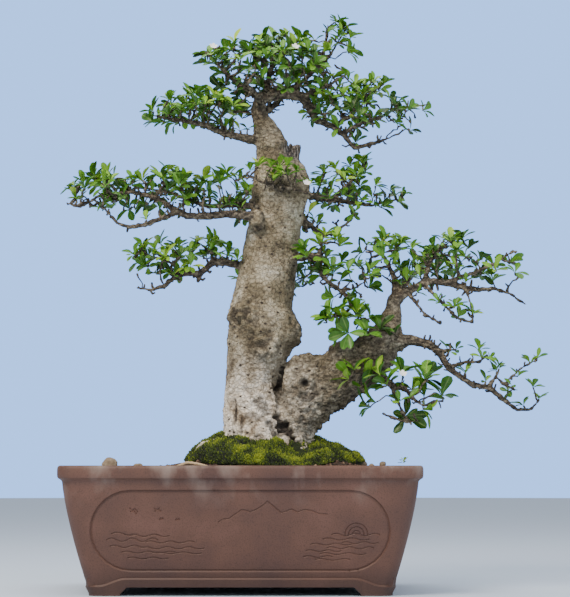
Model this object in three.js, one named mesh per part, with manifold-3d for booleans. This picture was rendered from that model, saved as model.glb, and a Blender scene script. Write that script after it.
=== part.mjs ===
// A bonsai tree in a rectangular unglazed clay pot.
//
// The pot stands on four corner feet and has two drainage holes, each under a plastic mesh screen.
// Soil fills it and rises in a mound, moss lies on the mound, and the tree grows out of it: a leaning
// main trunk, a thick low trunk to the right, and branches that end in flat pads of small leaves.
// All the wood grew as one piece, so it is one solid. Each pad of foliage is one solid of its outer shape.
//
// Units are millimetres, +Z is up and -Y is the front. The pot is drawn about its own middle with its feet
// at z = 0, and the tree about the middle of the pot with z = 0 at the rim. At the end the whole is moved
// so that the origin lies under the middle of its plan.

import * as THREE from "three";
import { mergeVertices } from "three/addons/utils/BufferGeometryUtils.js";
import Module from "manifold-3d";

const wasm = await Module();
wasm.setup();

// ---- Driving dimensions -------------------------------------------------------------------------

const POT_LENGTH = 500; // over the lip, left to right
const POT_DEPTH = 350; // over the lip, front to back
const POT_HEIGHT = 178; // ground to rim
const POT_CORNER = 26; // corner radius in plan, at the lip
const POT_TAPER = 37; // how far each side comes in from under the lip to the ground
const TAPER_POWER = 1.35; // above 1 the sides bulge
const POT_WALL = 13;
const POT_FLOOR = 12; // thickness of the bottom
const LIP_HEIGHT = 18;
const LIP_OVERHANG = 6;
const LIP_ROUND = 3; // rounding of the rim's outer edge
const FOOT_HEIGHT = 12;
const FOOT_LENGTH = 44; // left to right, measured on the ground
const FOOT_DEPTH = 40; // front to back, measured on the ground
const FOOT_CURVE = 14; // the concave end of the arch between two feet
const APRON_HEIGHT = 24; // ground to the top of the raised band along the foot of the wall
const BAND_HEIGHT = 14; // the same band where it dips round the corners
const DIP_START = 20; // from the corner at the ground to where the band starts to climb
const DIP_END = 57;
const APRON_DEPTH = 2;
const PANEL_DEPTH = 2; // how far the round-ended panel on each side is sunk
const PANEL_LOW = 35; // ground to the lower edge of a panel
const PANEL_HIGH = 143;
const PANEL_MARGIN = 6; // from the end of a panel to the wall's corner, at the ground

const DRAIN_RADIUS = 12;
const DRAIN_SPACING = 230; // between the two drainage holes
const SCREEN_SIZE = 42; // side of a square mesh screen
const SCREEN_THICKNESS = 1.6;
const SCREEN_BAR = 2.4;
const SCREEN_HOLES = 3; // along one side

const SOIL_DROP = 6; // rim down to the soil at the wall
const MOUND_RISE = 46; // soil at the wall up to the top of the mound
const MOUND_SPREAD_X = 112;
const MOUND_SPREAD_Y = 78;
const MOSS_LENGTH = 262;
const MOSS_DEPTH = 216;
const MOSS_THICKNESS = 13;
const MOSS_SEAM = 1.2; // gap between two moss sheets

const TREE_SCALE = 1; // the tree's routes are drawn 667 tall, above the rim
const CLEARANCE = 0.4; // between solids that touch
const WOOD_CLEARANCE = 1.2; // around the wood, where it passes through another solid
const DETAIL = 0.1; // shapes smaller than this are smoothed away
const WOOD_DETAIL = 0.35;
const LEAF_DETAIL = 0.4;

// ---- Materials ----------------------------------------------------------------------------------

const finish = (color, roughness) =>
  new THREE.MeshStandardMaterial({ color, roughness, metalness: 0 });
const CLAY = finish("#7a5648", 0.75);
const SOIL = finish("#3d2f25", 0.95);
const MOSS = finish("#5d7a1c", 0.95);
const BARK = finish("#a5957f", 0.85);
const LEAF = finish("#4b7a2b", 0.45);
const PETAL = finish("#f4f3ea", 0.6);
const STONE = finish("#8f7d67", 0.9);
const DRY_ROOT = finish("#c4ad8b", 0.9);
const MESH_PLASTIC = finish("#20242a", 0.6);

// ---- Solids -------------------------------------------------------------------------------------

// A closed three.js geometry as a manifold-3d solid.
function solidOf(geometry) {
  const bare = geometry.clone();
  bare.deleteAttribute("normal");
  bare.deleteAttribute("uv");
  const merged = mergeVertices(bare, 1e-3);
  return new wasm.Manifold(
    new wasm.Mesh({
      numProp: 3,
      vertProperties: new Float32Array(merged.getAttribute("position").array),
      triVerts: new Uint32Array(merged.index.array),
    }),
  );
}

// A solid as a three.js geometry.
function geometryOf(solid) {
  const { numProp, numVert, vertProperties, triVerts } = solid.getMesh();
  const positions = new Float32Array(numVert * 3);
  for (let i = 0; i < numVert; i++) {
    positions.set(vertProperties.subarray(i * numProp, i * numProp + 3), i * 3);
  }
  const geometry = new THREE.BufferGeometry();
  geometry.setAttribute("position", new THREE.BufferAttribute(positions, 3));
  geometry.setIndex(new THREE.BufferAttribute(triVerts, 1));
  return geometry;
}

// The biggest piece of a solid, without the slivers and crumbs that joins and cuts leave.
function largest(solid, detail = DETAIL) {
  const clean = solidOf(geometryOf(solid.simplify(detail)));
  return clean.decompose().sort((a, b) => b.volume() - a.volume())[0];
}

// A solid as a named mesh.
function meshOf(name, material, solid, detail = DETAIL) {
  const geometry = geometryOf(largest(solid, detail));
  geometry.computeVertexNormals();
  const mesh = new THREE.Mesh(geometry, material);
  mesh.name = name;
  return mesh;
}

const joined = (solids) => solids.reduce((whole, solid) => whole.add(solid));
const cut = (solid, ...cutters) => cutters.reduce((left, cutter) => left.subtract(cutter), solid);

// A closed cylinder reshaped point by point: place(row, column, rim) gives the new point, rows running
// from the bottom cap to the top one, and rim false for the middle of a cap.
function loft(rows, columns, place) {
  const geometry = new THREE.CylinderGeometry(1, 1, 1, columns, rows);
  geometry.rotateX(Math.PI / 2);
  const points = geometry.getAttribute("position");
  for (let i = 0; i < points.count; i++) {
    const [x, y, z] = [points.getX(i), points.getY(i), points.getZ(i)];
    const turn = Math.atan2(x, -y) / (2 * Math.PI);
    const column = Math.round((turn + 1) * columns) % columns;
    const row = Math.round((z + 0.5) * rows);
    const moved = place(row, column, Math.hypot(x, y) > 0.5);
    points.setXYZ(i, moved.x, moved.y, moved.z);
  }
  return solidOf(geometry);
}

// An ellipsoid, by its centre and half sizes.
function lump([x, y, z, rx, ry = rx, rz = rx], swell = 0, detail = 1) {
  const geometry = new THREE.IcosahedronGeometry(1, detail);
  geometry.scale(rx + swell, ry + swell, rz + swell);
  geometry.translate(x, y, z);
  return solidOf(geometry);
}

function block(length, depth, height, x, y, z) {
  const geometry = new THREE.BoxGeometry(length, depth, height);
  geometry.translate(x, y, z);
  return solidOf(geometry);
}

// A limb follows its points [x, y, z, radius]. swell makes it fatter and longer, to cut room for it.
function limb(points, sides, ringsPerSpan, swell = 0) {
  const path = new THREE.CatmullRomCurve3(
    points.map(([x, y, z]) => new THREE.Vector3(x, y, z)),
    false,
    "centripetal",
  );
  const rows = (points.length - 1) * ringsPerSpan;
  const rings = [];
  let side = new THREE.Vector3(0.31, 0.94, 0.12);
  for (let row = 0; row <= rows; row++) {
    const along = row / ringsPerSpan;
    const before = Math.min(Math.floor(along), points.length - 2);
    const share = along - before;
    const radius = points[before][3] * (1 - share) + points[before + 1][3] * share;
    const forward = path.getTangent(row / rows);
    const across = new THREE.Vector3().crossVectors(forward, side).normalize();
    side = new THREE.Vector3().crossVectors(across, forward).normalize();
    const end = row === 0 ? -swell : row === rows ? swell : 0;
    const centre = path.getPoint(row / rows).addScaledVector(forward, end);
    rings.push({ centre, side, across, radius: radius + swell });
  }
  return loft(rows, sides, (row, column, rim) => {
    const { centre, side: u, across: v, radius } = rings[row];
    const angle = (2 * Math.PI * column) / sides;
    const reach = rim ? radius : 0;
    return centre
      .clone()
      .addScaledVector(u, reach * Math.sin(angle))
      .addScaledVector(v, -reach * Math.cos(angle));
  });
}

// ---- Pot ----------------------------------------------------------------------------------------

const CORNER_STEPS = 4;
const PLAN_POINTS = 4 * (CORNER_STEPS + 1);

// One point of a rounded rectangle, counted anticlockwise from the front right corner.
function planPoint(column, halfX, halfY, radius) {
  const corner = Math.floor(column / (CORNER_STEPS + 1));
  const step = column % (CORNER_STEPS + 1);
  const angle = ((corner - 1) * Math.PI) / 2 + (step / CORNER_STEPS) * (Math.PI / 2);
  const sideX = corner === 0 || corner === 1 ? 1 : -1;
  const sideY = corner === 1 || corner === 2 ? 1 : -1;
  return new THREE.Vector2(
    sideX * (halfX - radius) + radius * Math.cos(angle),
    sideY * (halfY - radius) + radius * Math.sin(angle),
  );
}

const UNDER_LIP = POT_HEIGHT - LIP_HEIGHT;

// How far the outer wall lies inside the lip's outline at height z.
function wallInset(z) {
  const down = 1 - Math.min(z, UNDER_LIP) / UNDER_LIP;
  return LIP_OVERHANG + POT_TAPER * down ** TAPER_POWER;
}

// A solid whose outline at each level is the pot's, inset by that level's amount.
function potShape(levels) {
  return loft(levels.length - 1, PLAN_POINTS, (row, column, rim) => {
    const { inset, z } = levels[row];
    const radius = Math.max(POT_CORNER - 0.35 * inset, 4);
    const at = planPoint(column, POT_LENGTH / 2 - inset, POT_DEPTH / 2 - inset, radius);
    return rim ? new THREE.Vector3(at.x, at.y, z) : new THREE.Vector3(0, 0, z);
  });
}

const CAVITY_FLOOR = FOOT_HEIGHT + POT_FLOOR;
const SOIL_AT_WALL = POT_HEIGHT - SOIL_DROP;
const WALL_LEVELS = 6;

// The inner wall's levels from z = low to z = high, drawn in by extra.
function cavityLevels(low, high, extra) {
  const inner = (z) => wallInset(z) + POT_WALL + extra;
  const wall = [0, 1, 2, 3].map((i) => CAVITY_FLOOR + ((UNDER_LIP - CAVITY_FLOOR) * i) / 3);
  const levels = wall.map((z) => ({ z: Math.max(z, low), inset: inner(z) }));
  return [...levels, { z: high, inset: inner(UNDER_LIP) }];
}

// The arch between two feet, as a bar under the pot with concave ends.
function footArch(opening, reach) {
  const half = opening / 2;
  const bottom = -1;
  const shape = new THREE.Shape();
  shape.moveTo(-half, bottom);
  shape.lineTo(half, bottom);
  shape.lineTo(half, 0);
  shape.quadraticCurveTo(half - FOOT_CURVE, 0.1 * FOOT_HEIGHT, half - FOOT_CURVE, FOOT_HEIGHT);
  shape.lineTo(FOOT_CURVE - half, FOOT_HEIGHT);
  shape.quadraticCurveTo(FOOT_CURVE - half, 0.1 * FOOT_HEIGHT, -half, 0);
  const geometry = new THREE.ExtrudeGeometry(shape, {
    depth: reach,
    bevelEnabled: false,
    curveSegments: 6,
  });
  geometry.rotateX(Math.PI / 2);
  geometry.translate(0, reach / 2, 0);
  return geometry;
}

// A bar through the pot, as tall as the raised band, low at both ends and climbing in an S curve.
function bandBar(wallLength, reach) {
  const half = wallLength / 2;
  const low = half - DIP_START;
  const high = half - DIP_END;
  const turn = (low + high) / 2;
  const shape = new THREE.Shape();
  shape.moveTo(-half, 0);
  shape.lineTo(half, 0);
  shape.lineTo(half, BAND_HEIGHT);
  shape.lineTo(low, BAND_HEIGHT);
  shape.bezierCurveTo(turn, BAND_HEIGHT, turn, APRON_HEIGHT, high, APRON_HEIGHT);
  shape.lineTo(-high, APRON_HEIGHT);
  shape.bezierCurveTo(-turn, APRON_HEIGHT, -turn, BAND_HEIGHT, -low, BAND_HEIGHT);
  shape.lineTo(-half, BAND_HEIGHT);
  const geometry = new THREE.ExtrudeGeometry(shape, { depth: reach, bevelEnabled: false, curveSegments: 6 });
  geometry.rotateX(Math.PI / 2);
  geometry.translate(0, reach / 2, 0);
  return geometry;
}

// Everything inside a round-ended upright outline, so long that it sticks out of both sides of the pot.
function panelBar(wallLength, reach) {
  const radius = (PANEL_HIGH - PANEL_LOW) / 2;
  const straight = wallLength / 2 - PANEL_MARGIN - radius;
  const shape = new THREE.Shape();
  shape.absarc(straight, (PANEL_LOW + PANEL_HIGH) / 2, radius, -Math.PI / 2, Math.PI / 2);
  shape.absarc(-straight, (PANEL_LOW + PANEL_HIGH) / 2, radius, Math.PI / 2, (3 * Math.PI) / 2);
  const geometry = new THREE.ExtrudeGeometry(shape, { depth: reach, bevelEnabled: false, curveSegments: 10 });
  geometry.rotateX(Math.PI / 2);
  geometry.translate(0, reach / 2, 0);
  return geometry;
}

function buildPot() {
  const wallStart = BAND_HEIGHT + APRON_DEPTH;
  const wall = Array.from({ length: WALL_LEVELS }, (_, i) => {
    const z = wallStart + ((0.96 * UNDER_LIP - BAND_HEIGHT) * i) / (WALL_LEVELS - 1);
    return { z, inset: wallInset(z) };
  });
  const proud = (z) => ({ z, inset: wallInset(z) - APRON_DEPTH });
  const apron = [proud(0), proud(BAND_HEIGHT)];
  const sunk = wall.map(({ z, inset }) => ({ z, inset: inset + PANEL_DEPTH }));
  const outside = potShape([
    ...apron,
    ...wall,
    { z: UNDER_LIP, inset: LIP_ROUND },
    { z: UNDER_LIP + LIP_ROUND, inset: 0 },
    { z: POT_HEIGHT - LIP_ROUND, inset: 0 },
    { z: POT_HEIGHT, inset: LIP_ROUND },
  ]);
  const cavity = potShape(cavityLevels(CAVITY_FLOOR, POT_HEIGHT + 1, 0));
  const groundLength = POT_LENGTH - 2 * apron[0].inset;
  const groundDepth = POT_DEPTH - 2 * apron[0].inset;
  const bandY = bandBar(groundDepth, POT_LENGTH);
  bandY.rotateZ(Math.PI / 2);
  const bands = solidOf(bandBar(groundLength, POT_DEPTH)).add(solidOf(bandY));
  const skirt = potShape([proud(0), proud(BAND_HEIGHT), proud(APRON_HEIGHT)]).intersect(bands);
  const alongX = footArch(groundLength - 2 * FOOT_LENGTH, POT_DEPTH);
  const alongY = footArch(groundDepth - 2 * FOOT_DEPTH, POT_LENGTH);
  alongY.rotateZ(Math.PI / 2);
  const drains = [-1, 1].map((side) => {
    const hole = new THREE.CylinderGeometry(DRAIN_RADIUS, DRAIN_RADIUS, 3 * POT_FLOOR, 24);
    hole.rotateX(Math.PI / 2);
    hole.translate((side * DRAIN_SPACING) / 2, 0, CAVITY_FLOOR);
    return solidOf(hole);
  });
  const endPanel = panelBar(groundDepth, 2 * POT_LENGTH);
  endPanel.rotateZ(Math.PI / 2);
  const panels = solidOf(panelBar(groundLength, 2 * POT_DEPTH)).add(solidOf(endPanel));
  const recess = panels.subtract(potShape(sunk));
  return cut(outside.add(skirt), recess, cavity, solidOf(alongX), solidOf(alongY), ...drains);
}

// A square plastic mesh that keeps the soil out of a drainage hole.
function buildScreen(side) {
  const x = (side * DRAIN_SPACING) / 2;
  const z = CAVITY_FLOOR + CLEARANCE + SCREEN_THICKNESS / 2;
  const pitch = (SCREEN_SIZE - SCREEN_BAR) / SCREEN_HOLES;
  const hole = pitch - SCREEN_BAR;
  const offsets = Array.from({ length: SCREEN_HOLES }, (_, i) => pitch * (i - (SCREEN_HOLES - 1) / 2));
  const holes = offsets.flatMap((right) =>
    offsets.map((back) => block(hole, hole, 3 * SCREEN_THICKNESS, x + right, back, z)),
  );
  return cut(block(SCREEN_SIZE, SCREEN_SIZE, SCREEN_THICKNESS, x, 0, z), ...holes);
}

// Room for a screen, cut out of the soil's underside.
function screenRoom(side) {
  const size = SCREEN_SIZE + 2 * CLEARANCE;
  const height = SCREEN_THICKNESS + 2 * CLEARANCE;
  return block(size, size, 2 * height, (side * DRAIN_SPACING) / 2, 0, CAVITY_FLOOR + CLEARANCE);
}

// ---- Tree ---------------------------------------------------------------------------------------

// Routes are [x, y, z, radius], with z above the rim. Thick ones are round enough to read as a trunk.
const TRUNKS = {
  main: [
    [26, 0, -22, 56], [24, 0, 30, 51], [17, 2, 81, 44], [15, 0, 123, 40], [22, -2, 167, 45],
    [29, -2, 188, 49], [29, 0, 206, 49], [26, 2, 226, 45], [31, 4, 258, 42], [39, 4, 300, 41],
    [44, 2, 340, 40], [49, 0, 368, 39], [54, 0, 394, 41], [55, 0, 412, 43], [52, 0, 424, 40],
    [46, -1, 441, 33], [42, -2, 459, 24], [39, -2, 477, 20], [30, -2, 496, 16],
  ],
  low: [
    [80, 0, -18, 34], [73, -2, 30, 27], [75, -6, 60, 30], [95, -10, 100, 41], [130, -14, 122, 41],
    [160, -16, 139, 37], [186, -18, 159, 32], [203, -20, 180, 26], [212, -18, 203, 17],
    [217, -14, 224, 12], [218, -12, 244, 8.5],
  ],
};

// Swellings of the trunk, [x, y, z, half x, half y, half z].
const BURLS = [
  [0, -14, 214, 22, 28, 24], [34, -34, 168, 26, 20, 24], [66, -4, 192, 18, 30, 26],
  [94, -20, 123, 42, 34, 40], [146, -34, 160, 24, 20, 18], [196, -24, 172, 27, 24, 26],
  [44, -8, 466, 24, 22, 16], [22, -38, 350, 10, 12, 18], [72, 12, 400, 22, 26, 26],
];

const BRANCHES = {
  // Dead stub beside the apex, and old cut stubs.
  dead_stub: [[66, 6, 432, 16], [73, 6, 450, 12], [77, 6, 468, 10]],
  front_stub: [[50, -30, 396, 10], [52, -50, 398, 8]],
  hanging_stub: [[80, 14, 378, 5], [91, 8, 354, 4], [93, 6, 338, 3.4]],
  // Apex.
  leader: [
    [32, -2, 492, 16], [20, 0, 522, 12], [26, -5, 537, 10.5], [58, -8, 543, 9.5], [87, -6, 539, 8.5],
    [98, -2, 522, 7.5], [107, 4, 505, 6.5], [131, 8, 497, 5.6], [149, 10, 483, 4.8],
    [163, 10, 464, 4.4], [178, 8, 468, 4], [201, 6, 474, 3.4], [218, 4, 481, 2.4],
  ],
  apex_left: [
    [36, 0, 476, 13], [12, -10, 474, 8], [-10, -16, 478, 6.4], [-32, -20, 483, 5.6],
    [-62, -24, 495, 4.6], [-93, -26, 500, 3.6], [-116, -26, 504, 2.4],
  ],
  apex_up_left: [
    [25, -4, 534, 7], [5, -10, 550, 5], [-20, -14, 566, 4], [-44, -16, 590, 2.8], [-56, -16, 604, 2],
  ],
  apex_up: [[32, 0, 540, 7], [38, 6, 572, 5], [44, 8, 601, 3.6], [50, 8, 628, 2.4]],
  apex_shoot: [[62, -7, 543, 6], [82, 0, 558, 4.6], [112, 6, 586, 3.6], [120, 8, 614, 2.8], [125, 8, 650, 2]],
  apex_shoot_right: [[112, 6, 586, 3.2], [130, 10, 607, 2.8], [142, 10, 628, 2.3], [158, 10, 653, 2]],
  apex_right_up: [[87, -6, 539, 5.4], [110, -14, 545, 4.2], [132, -20, 557, 3.2], [152, -22, 570, 2.4]],
  apex_far_up: [[131, 8, 497, 4.6], [158, 14, 513, 3.6], [177, 14, 532, 2.8], [190, 12, 553, 2]],
  apex_far_right: [
    [146, 10, 487, 4.2], [176, 6, 502, 3.6], [201, 0, 509, 3.2], [216, -4, 517, 2.8],
    [242, -8, 523, 2.4], [272, -10, 526, 2],
  ],
  apex_back: [[36, 4, 520, 7], [45, 45, 535, 5], [50, 82, 548, 3.8], [60, 108, 558, 2.4]],
  apex_front: [[28, -4, 524, 6], [20, -42, 534, 4.6], [8, -74, 542, 3.2], [2, -94, 548, 2.2]],
  // Left side.
  left_upper: [
    [30, -30, 338, 12], [12, -40, 358, 9], [-22, -46, 360, 6.6], [-58, -50, 356, 6], [-79, -52, 356, 6],
    [-100, -54, 367, 5.2], [-122, -54, 382, 4.6], [-156, -50, 391, 4], [-202, -44, 389, 3],
    [-234, -40, 370, 2.5], [-250, -38, 376, 2],
  ],
  left_upper_low: [
    [-92, -54, 362, 4.6], [-118, -62, 350, 4.2], [-138, -66, 342, 4.2], [-160, -68, 338, 4],
    [-178, -68, 344, 3], [-192, -66, 360, 2.2],
  ],
  left_upper_high: [
    [22, -34, 372, 6], [-10, -26, 376, 5], [-46, -22, 374, 4.6], [-72, -20, 381, 4],
    [-100, -18, 393, 3.4], [-140, -14, 402, 2.4],
  ],
  left_lower: [
    [12, 8, 290, 9], [-4, 5, 290, 7], [-22, 0, 294, 6.4], [-44, -5, 294, 6.4], [-62, -10, 278, 5.4],
    [-93, -14, 276, 4.8], [-114, -18, 259, 3.8], [-132, -20, 252, 3.2], [-153, -20, 256, 2.6],
  ],
  left_lower_up: [[-44, -5, 295, 4], [-46, -8, 309, 3.4], [-62, -8, 321, 2.4]],
  left_lower_out: [[-90, -14, 276, 3.8], [-102, -14, 292, 3.2], [-125, -12, 300, 2.6], [-150, -8, 308, 2]],
  left_lower_knob: [[-60, -10, 279, 4], [-66, -13, 264, 3.8]],
  // Front of the trunk.
  front_left_twig: [[51, -50, 399, 3.6], [36, -57, 401, 3], [18, -62, 408, 2.6], [4, -64, 416, 2.2]],
  front_right_twig: [[53, -50, 397, 3.6], [72, -57, 396, 3], [90, -60, 389, 2.4], [104, -60, 384, 2.2]],
  // Right side.
  right_upper: [
    [82, 10, 398, 9], [101, 28, 396, 6.4], [132, 38, 393, 5.2], [160, 42, 388, 4.2], [191, 40, 384, 3.2],
    [215, 36, 390, 2.5], [237, 32, 394, 2],
  ],
  right_upper_up: [[130, 38, 394, 4.2], [150, 46, 412, 3.4], [170, 48, 432, 2.8], [184, 46, 452, 2]],
  right_upper_low: [
    [80, 14, 366, 7], [96, 24, 354, 5], [117, 32, 338, 4.2], [139, 34, 346, 3.2], [152, 34, 357, 2.2],
  ],
  right_inner: [
    [62, -10, 302, 9], [78, -18, 301, 7.4], [98, -24, 302, 7.2], [111, -28, 294, 7], [111, -32, 280, 4.8],
    [122, -36, 263, 4.2], [140, -38, 250, 3.6], [154, -36, 238, 2.6],
  ],
  right_inner_out: [[138, -38, 251, 3.2], [158, -42, 252, 2.8], [176, -46, 262, 2.2]],
  right_inner_up: [[108, -27, 296, 4.4], [114, -32, 316, 3], [112, -34, 328, 2.2]],
  // Crown over the low trunk.
  crown_left: [
    [222, -13, 238, 9], [221, -6, 258, 6.4], [222, 4, 270, 5.2], [214, 14, 288, 4.2],
    [204, 20, 308, 3.2], [192, 24, 326, 2.2],
  ],
  crown_right: [
    [222, -13, 238, 9.5], [236, -18, 251, 7.6], [249, -20, 256, 6.6], [266, -22, 266, 6], [294, -25, 262, 5.4],
    [336, -28, 252, 4.6], [364, -28, 254, 3.4], [387, -25, 246, 2.6], [410, -22, 230, 2],
  ],
  crown_up: [[262, -20, 264, 5], [270, -10, 292, 4], [286, -2, 312, 3.2], [302, 4, 326, 2.2]],
  crown_back: [[228, -12, 252, 6], [238, 24, 268, 4.4], [252, 54, 282, 3.4], [270, 78, 292, 2.2]],
  crown_right_up: [[290, -25, 262, 4.4], [338, -32, 278, 3.4], [366, -34, 292, 2.8], [392, -34, 309, 2]],
  crown_hanging: [[260, -24, 262, 4], [283, -38, 236, 3.2], [307, -46, 210, 2.8], [331, -48, 203, 2.6]],
  crown_hanging_tip: [[322, -28, 254, 2.8], [328, -40, 226, 2.4], [330, -48, 205, 2.4]],
  crown_hanging_inner: [[238, -20, 250, 4], [260, -36, 218, 2.8], [285, -44, 201, 2.8]],
  // Long branch that falls away to the right.
  cascade: [
    [218, -24, 176, 15], [242, -32, 180, 9], [269, -40, 172, 7.4], [282, -44, 161, 6.4], [295, -48, 137, 5.4],
    [325, -52, 116, 5], [353, -54, 109, 4.6], [369, -54, 95, 4.4], [390, -52, 79, 3.4], [410, -50, 79, 2.8],
    [421, -48, 91, 2.2],
  ],
  cascade_knee: [[350, -54, 110, 3.6], [360, -58, 127, 3.2], [370, -62, 115, 3], [388, -64, 106, 2.6]],
  cascade_shoot: [[372, -62, 113, 2.8], [379, -63, 122, 2.4], [395, -64, 137, 2.2], [417, -62, 149, 2]],
  cascade_upper: [[295, -49, 140, 3.8], [316, -56, 146, 3.4], [337, -60, 147, 3], [349, -60, 156, 2.2]],
  cascade_stub: [[280, -44, 163, 3.4], [307, -52, 165, 2.2]],
  // Low branch under the cascade.
  low: [
    [178, -38, 146, 9], [198, -56, 128, 6], [212, -64, 114, 5], [233, -70, 106, 4.4], [243, -73, 93, 3.6],
    [257, -75, 83, 2.6],
  ],
  low_under: [[210, -63, 115, 3.8], [222, -72, 85, 3], [235, -76, 60, 2.8], [250, -77, 64, 2.2]],
  low_under_tip: [[235, -76, 60, 2.8], [216, -75, 65, 2.4], [199, -72, 74, 2]],
  // Behind the trunk.
  back_lower: [[34, 24, 246, 11], [34, 62, 254, 7], [42, 94, 262, 5.4], [56, 124, 268, 4], [72, 144, 272, 2.6]],
  back_lower_left: [[40, 90, 261, 4.6], [20, 118, 272, 3.2], [4, 138, 280, 2.2]],
  back_upper: [[46, 22, 352, 9], [42, 58, 362, 6], [28, 92, 370, 4.6], [16, 122, 378, 3]],
};

// Roots that leave the trunk and dive into the mound.
const ROOTS = {
  root_left: [[10, -12, 36, 22], [-26, -26, 33, 8], [-58, -34, 29, 5.5], [-84, -38, 10, 4]],
  root_front: [[28, -26, 30, 24], [32, -58, 8, 14], [38, -84, -14, 7]],
  root_front_right: [[68, -18, 48, 20], [80, -38, 22, 14], [90, -56, -2, 8]],
  root_right: [[86, -4, 26, 22], [106, -4, 4, 12], [128, 0, -16, 6]],
  root_back: [[40, 28, 26, 26], [46, 62, 6, 14], [52, 90, -14, 7]],
  root_back_left: [[8, 24, 26, 22], [-18, 50, 8, 12], [-38, 70, -14, 7]],
};

// Each pad of foliage is a group of ellipsoids, [x, y, z, half x, half y, half z].
const PADS = {
  foliage_apex_top: [
    [32, 0, 571, 82, 74, 54], [84, -6, 572, 60, 56, 48], [-26, -6, 592, 44, 44, 32],
    [132, 9, 616, 34, 26, 50], [62, 6, 612, 44, 38, 26],
  ],
  foliage_apex_left: [[-62, -16, 512, 72, 54, 32], [-104, -20, 508, 42, 32, 20]],
  foliage_apex_right: [[152, 6, 520, 62, 54, 38], [216, 0, 506, 56, 38, 28], [190, 12, 548, 30, 26, 26]],
  foliage_left_upper: [[-188, -42, 390, 66, 48, 34], [-100, -46, 392, 68, 46, 36], [-32, -44, 394, 46, 30, 30]],
  foliage_left_lower: [[-112, -12, 296, 58, 40, 32], [-42, -4, 312, 36, 30, 22]],
  foliage_front: [[46, -66, 408, 52, 16, 30]],
  foliage_right_upper: [[140, 38, 398, 48, 42, 50], [200, 38, 396, 40, 28, 26], [172, 46, 438, 26, 22, 22]],
  foliage_right_inner: [[118, -32, 312, 32, 26, 24], [150, -38, 262, 48, 32, 34], [98, -30, 284, 24, 22, 26]],
  foliage_elbow: [[158, -66, 200, 56, 22, 26]],
  foliage_crown_left: [[214, 6, 306, 52, 48, 40]],
  foliage_crown_right: [[306, -16, 292, 52, 48, 44], [370, -28, 276, 46, 34, 38]],
  foliage_crown_back: [[262, 70, 292, 44, 30, 28]],
  foliage_crown_hanging: [[302, -46, 222, 36, 18, 24]],
  foliage_cascade_upper: [[326, -56, 156, 34, 22, 20]],
  foliage_cascade_tip: [[392, -58, 118, 40, 20, 36]],
  foliage_low: [[228, -76, 98, 72, 34, 38], [168, -66, 122, 34, 20, 26]],
  foliage_back_lower: [[54, 116, 280, 68, 46, 30]],
  foliage_back_upper: [[24, 108, 392, 56, 42, 28]],
};

// Open flowers, [x, y, z] of the middle of each.
const FLOWERS = {
  flower_apex_left: [-43, -42, 607],
  flower_apex: [76, -44, 606],
  flower_front: [92, -64, 404],
  flower_low: [226, -94, 130],
};
const FLOWER_RADIUS = 6;
const FLOWER_DEPTH = 5;

const THICK = { sides: 14, rings: 1 };
const THIN = { sides: 5, rings: 1 };
const ROOT = { sides: 8, rings: 1 };

const limbsOf = (routes, { sides, rings }, swell) =>
  Object.values(routes).map((points) => limb(points, sides, rings, swell));

// All the wood as one solid, or fatter by swell to cut room for it.
function buildWood(swell = 0) {
  return joined([
    ...limbsOf(TRUNKS, THICK, swell),
    ...BURLS.map((burl) => lump(burl, swell)),
    ...limbsOf(ROOTS, ROOT, swell),
    ...limbsOf(BRANCHES, THIN, swell),
  ]);
}

function buildFlower([x, y, z], swell = 0) {
  const profile = [
    new THREE.Vector2(0, -FLOWER_DEPTH - swell),
    new THREE.Vector2(1.4 + swell, -FLOWER_DEPTH - swell),
    new THREE.Vector2(FLOWER_RADIUS + swell, 0),
    new THREE.Vector2(FLOWER_RADIUS + swell, 1.2 + swell),
    new THREE.Vector2(0, 1.2 + swell),
  ];
  const geometry = new THREE.LatheGeometry(profile, 6);
  geometry.rotateX(Math.PI / 2);
  geometry.translate(x, y, z);
  return solidOf(geometry);
}

// ---- Soil, moss and what lies on them -----------------------------------------------------------

const MOUND_CENTRE = new THREE.Vector2(46, -4);

function soilTop(x, y) {
  const across = (x - MOUND_CENTRE.x) / MOUND_SPREAD_X;
  const deep = (y - MOUND_CENTRE.y) / MOUND_SPREAD_Y;
  return SOIL_AT_WALL + MOUND_RISE * Math.exp(-(across ** 2) - deep ** 2);
}

// Soil up to its mounded top, raised by lift and drawn in from the wall by gap.
function soilBody(lift, gap) {
  const sides = cavityLevels(CAVITY_FLOOR + CLEARANCE, SOIL_AT_WALL, gap);
  const edge = sides[sides.length - 1].inset;
  const shares = [0.82, 0.62, 0.42, 0.22];
  const rows = sides.length - 1 + shares.length;
  return loft(rows, PLAN_POINTS, (row, column, rim) => {
    if (row < sides.length) {
      const { inset, z } = sides[row];
      const radius = Math.max(POT_CORNER - 0.35 * inset, 4);
      const at = planPoint(column, POT_LENGTH / 2 - inset, POT_DEPTH / 2 - inset, radius);
      const top = row === sides.length - 1 ? lift : 0;
      return rim ? new THREE.Vector3(at.x, at.y, z + top) : new THREE.Vector3(0, 0, z);
    }
    const share = rim ? shares[row - sides.length] : 0;
    const at = planPoint(column, POT_LENGTH / 2 - edge, POT_DEPTH / 2 - edge, POT_CORNER / 2);
    const x = at.x * share + MOUND_CENTRE.x * (1 - share);
    const y = at.y * share + MOUND_CENTRE.y * (1 - share);
    return new THREE.Vector3(x, y, soilTop(x, y) + lift);
  });
}

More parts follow.
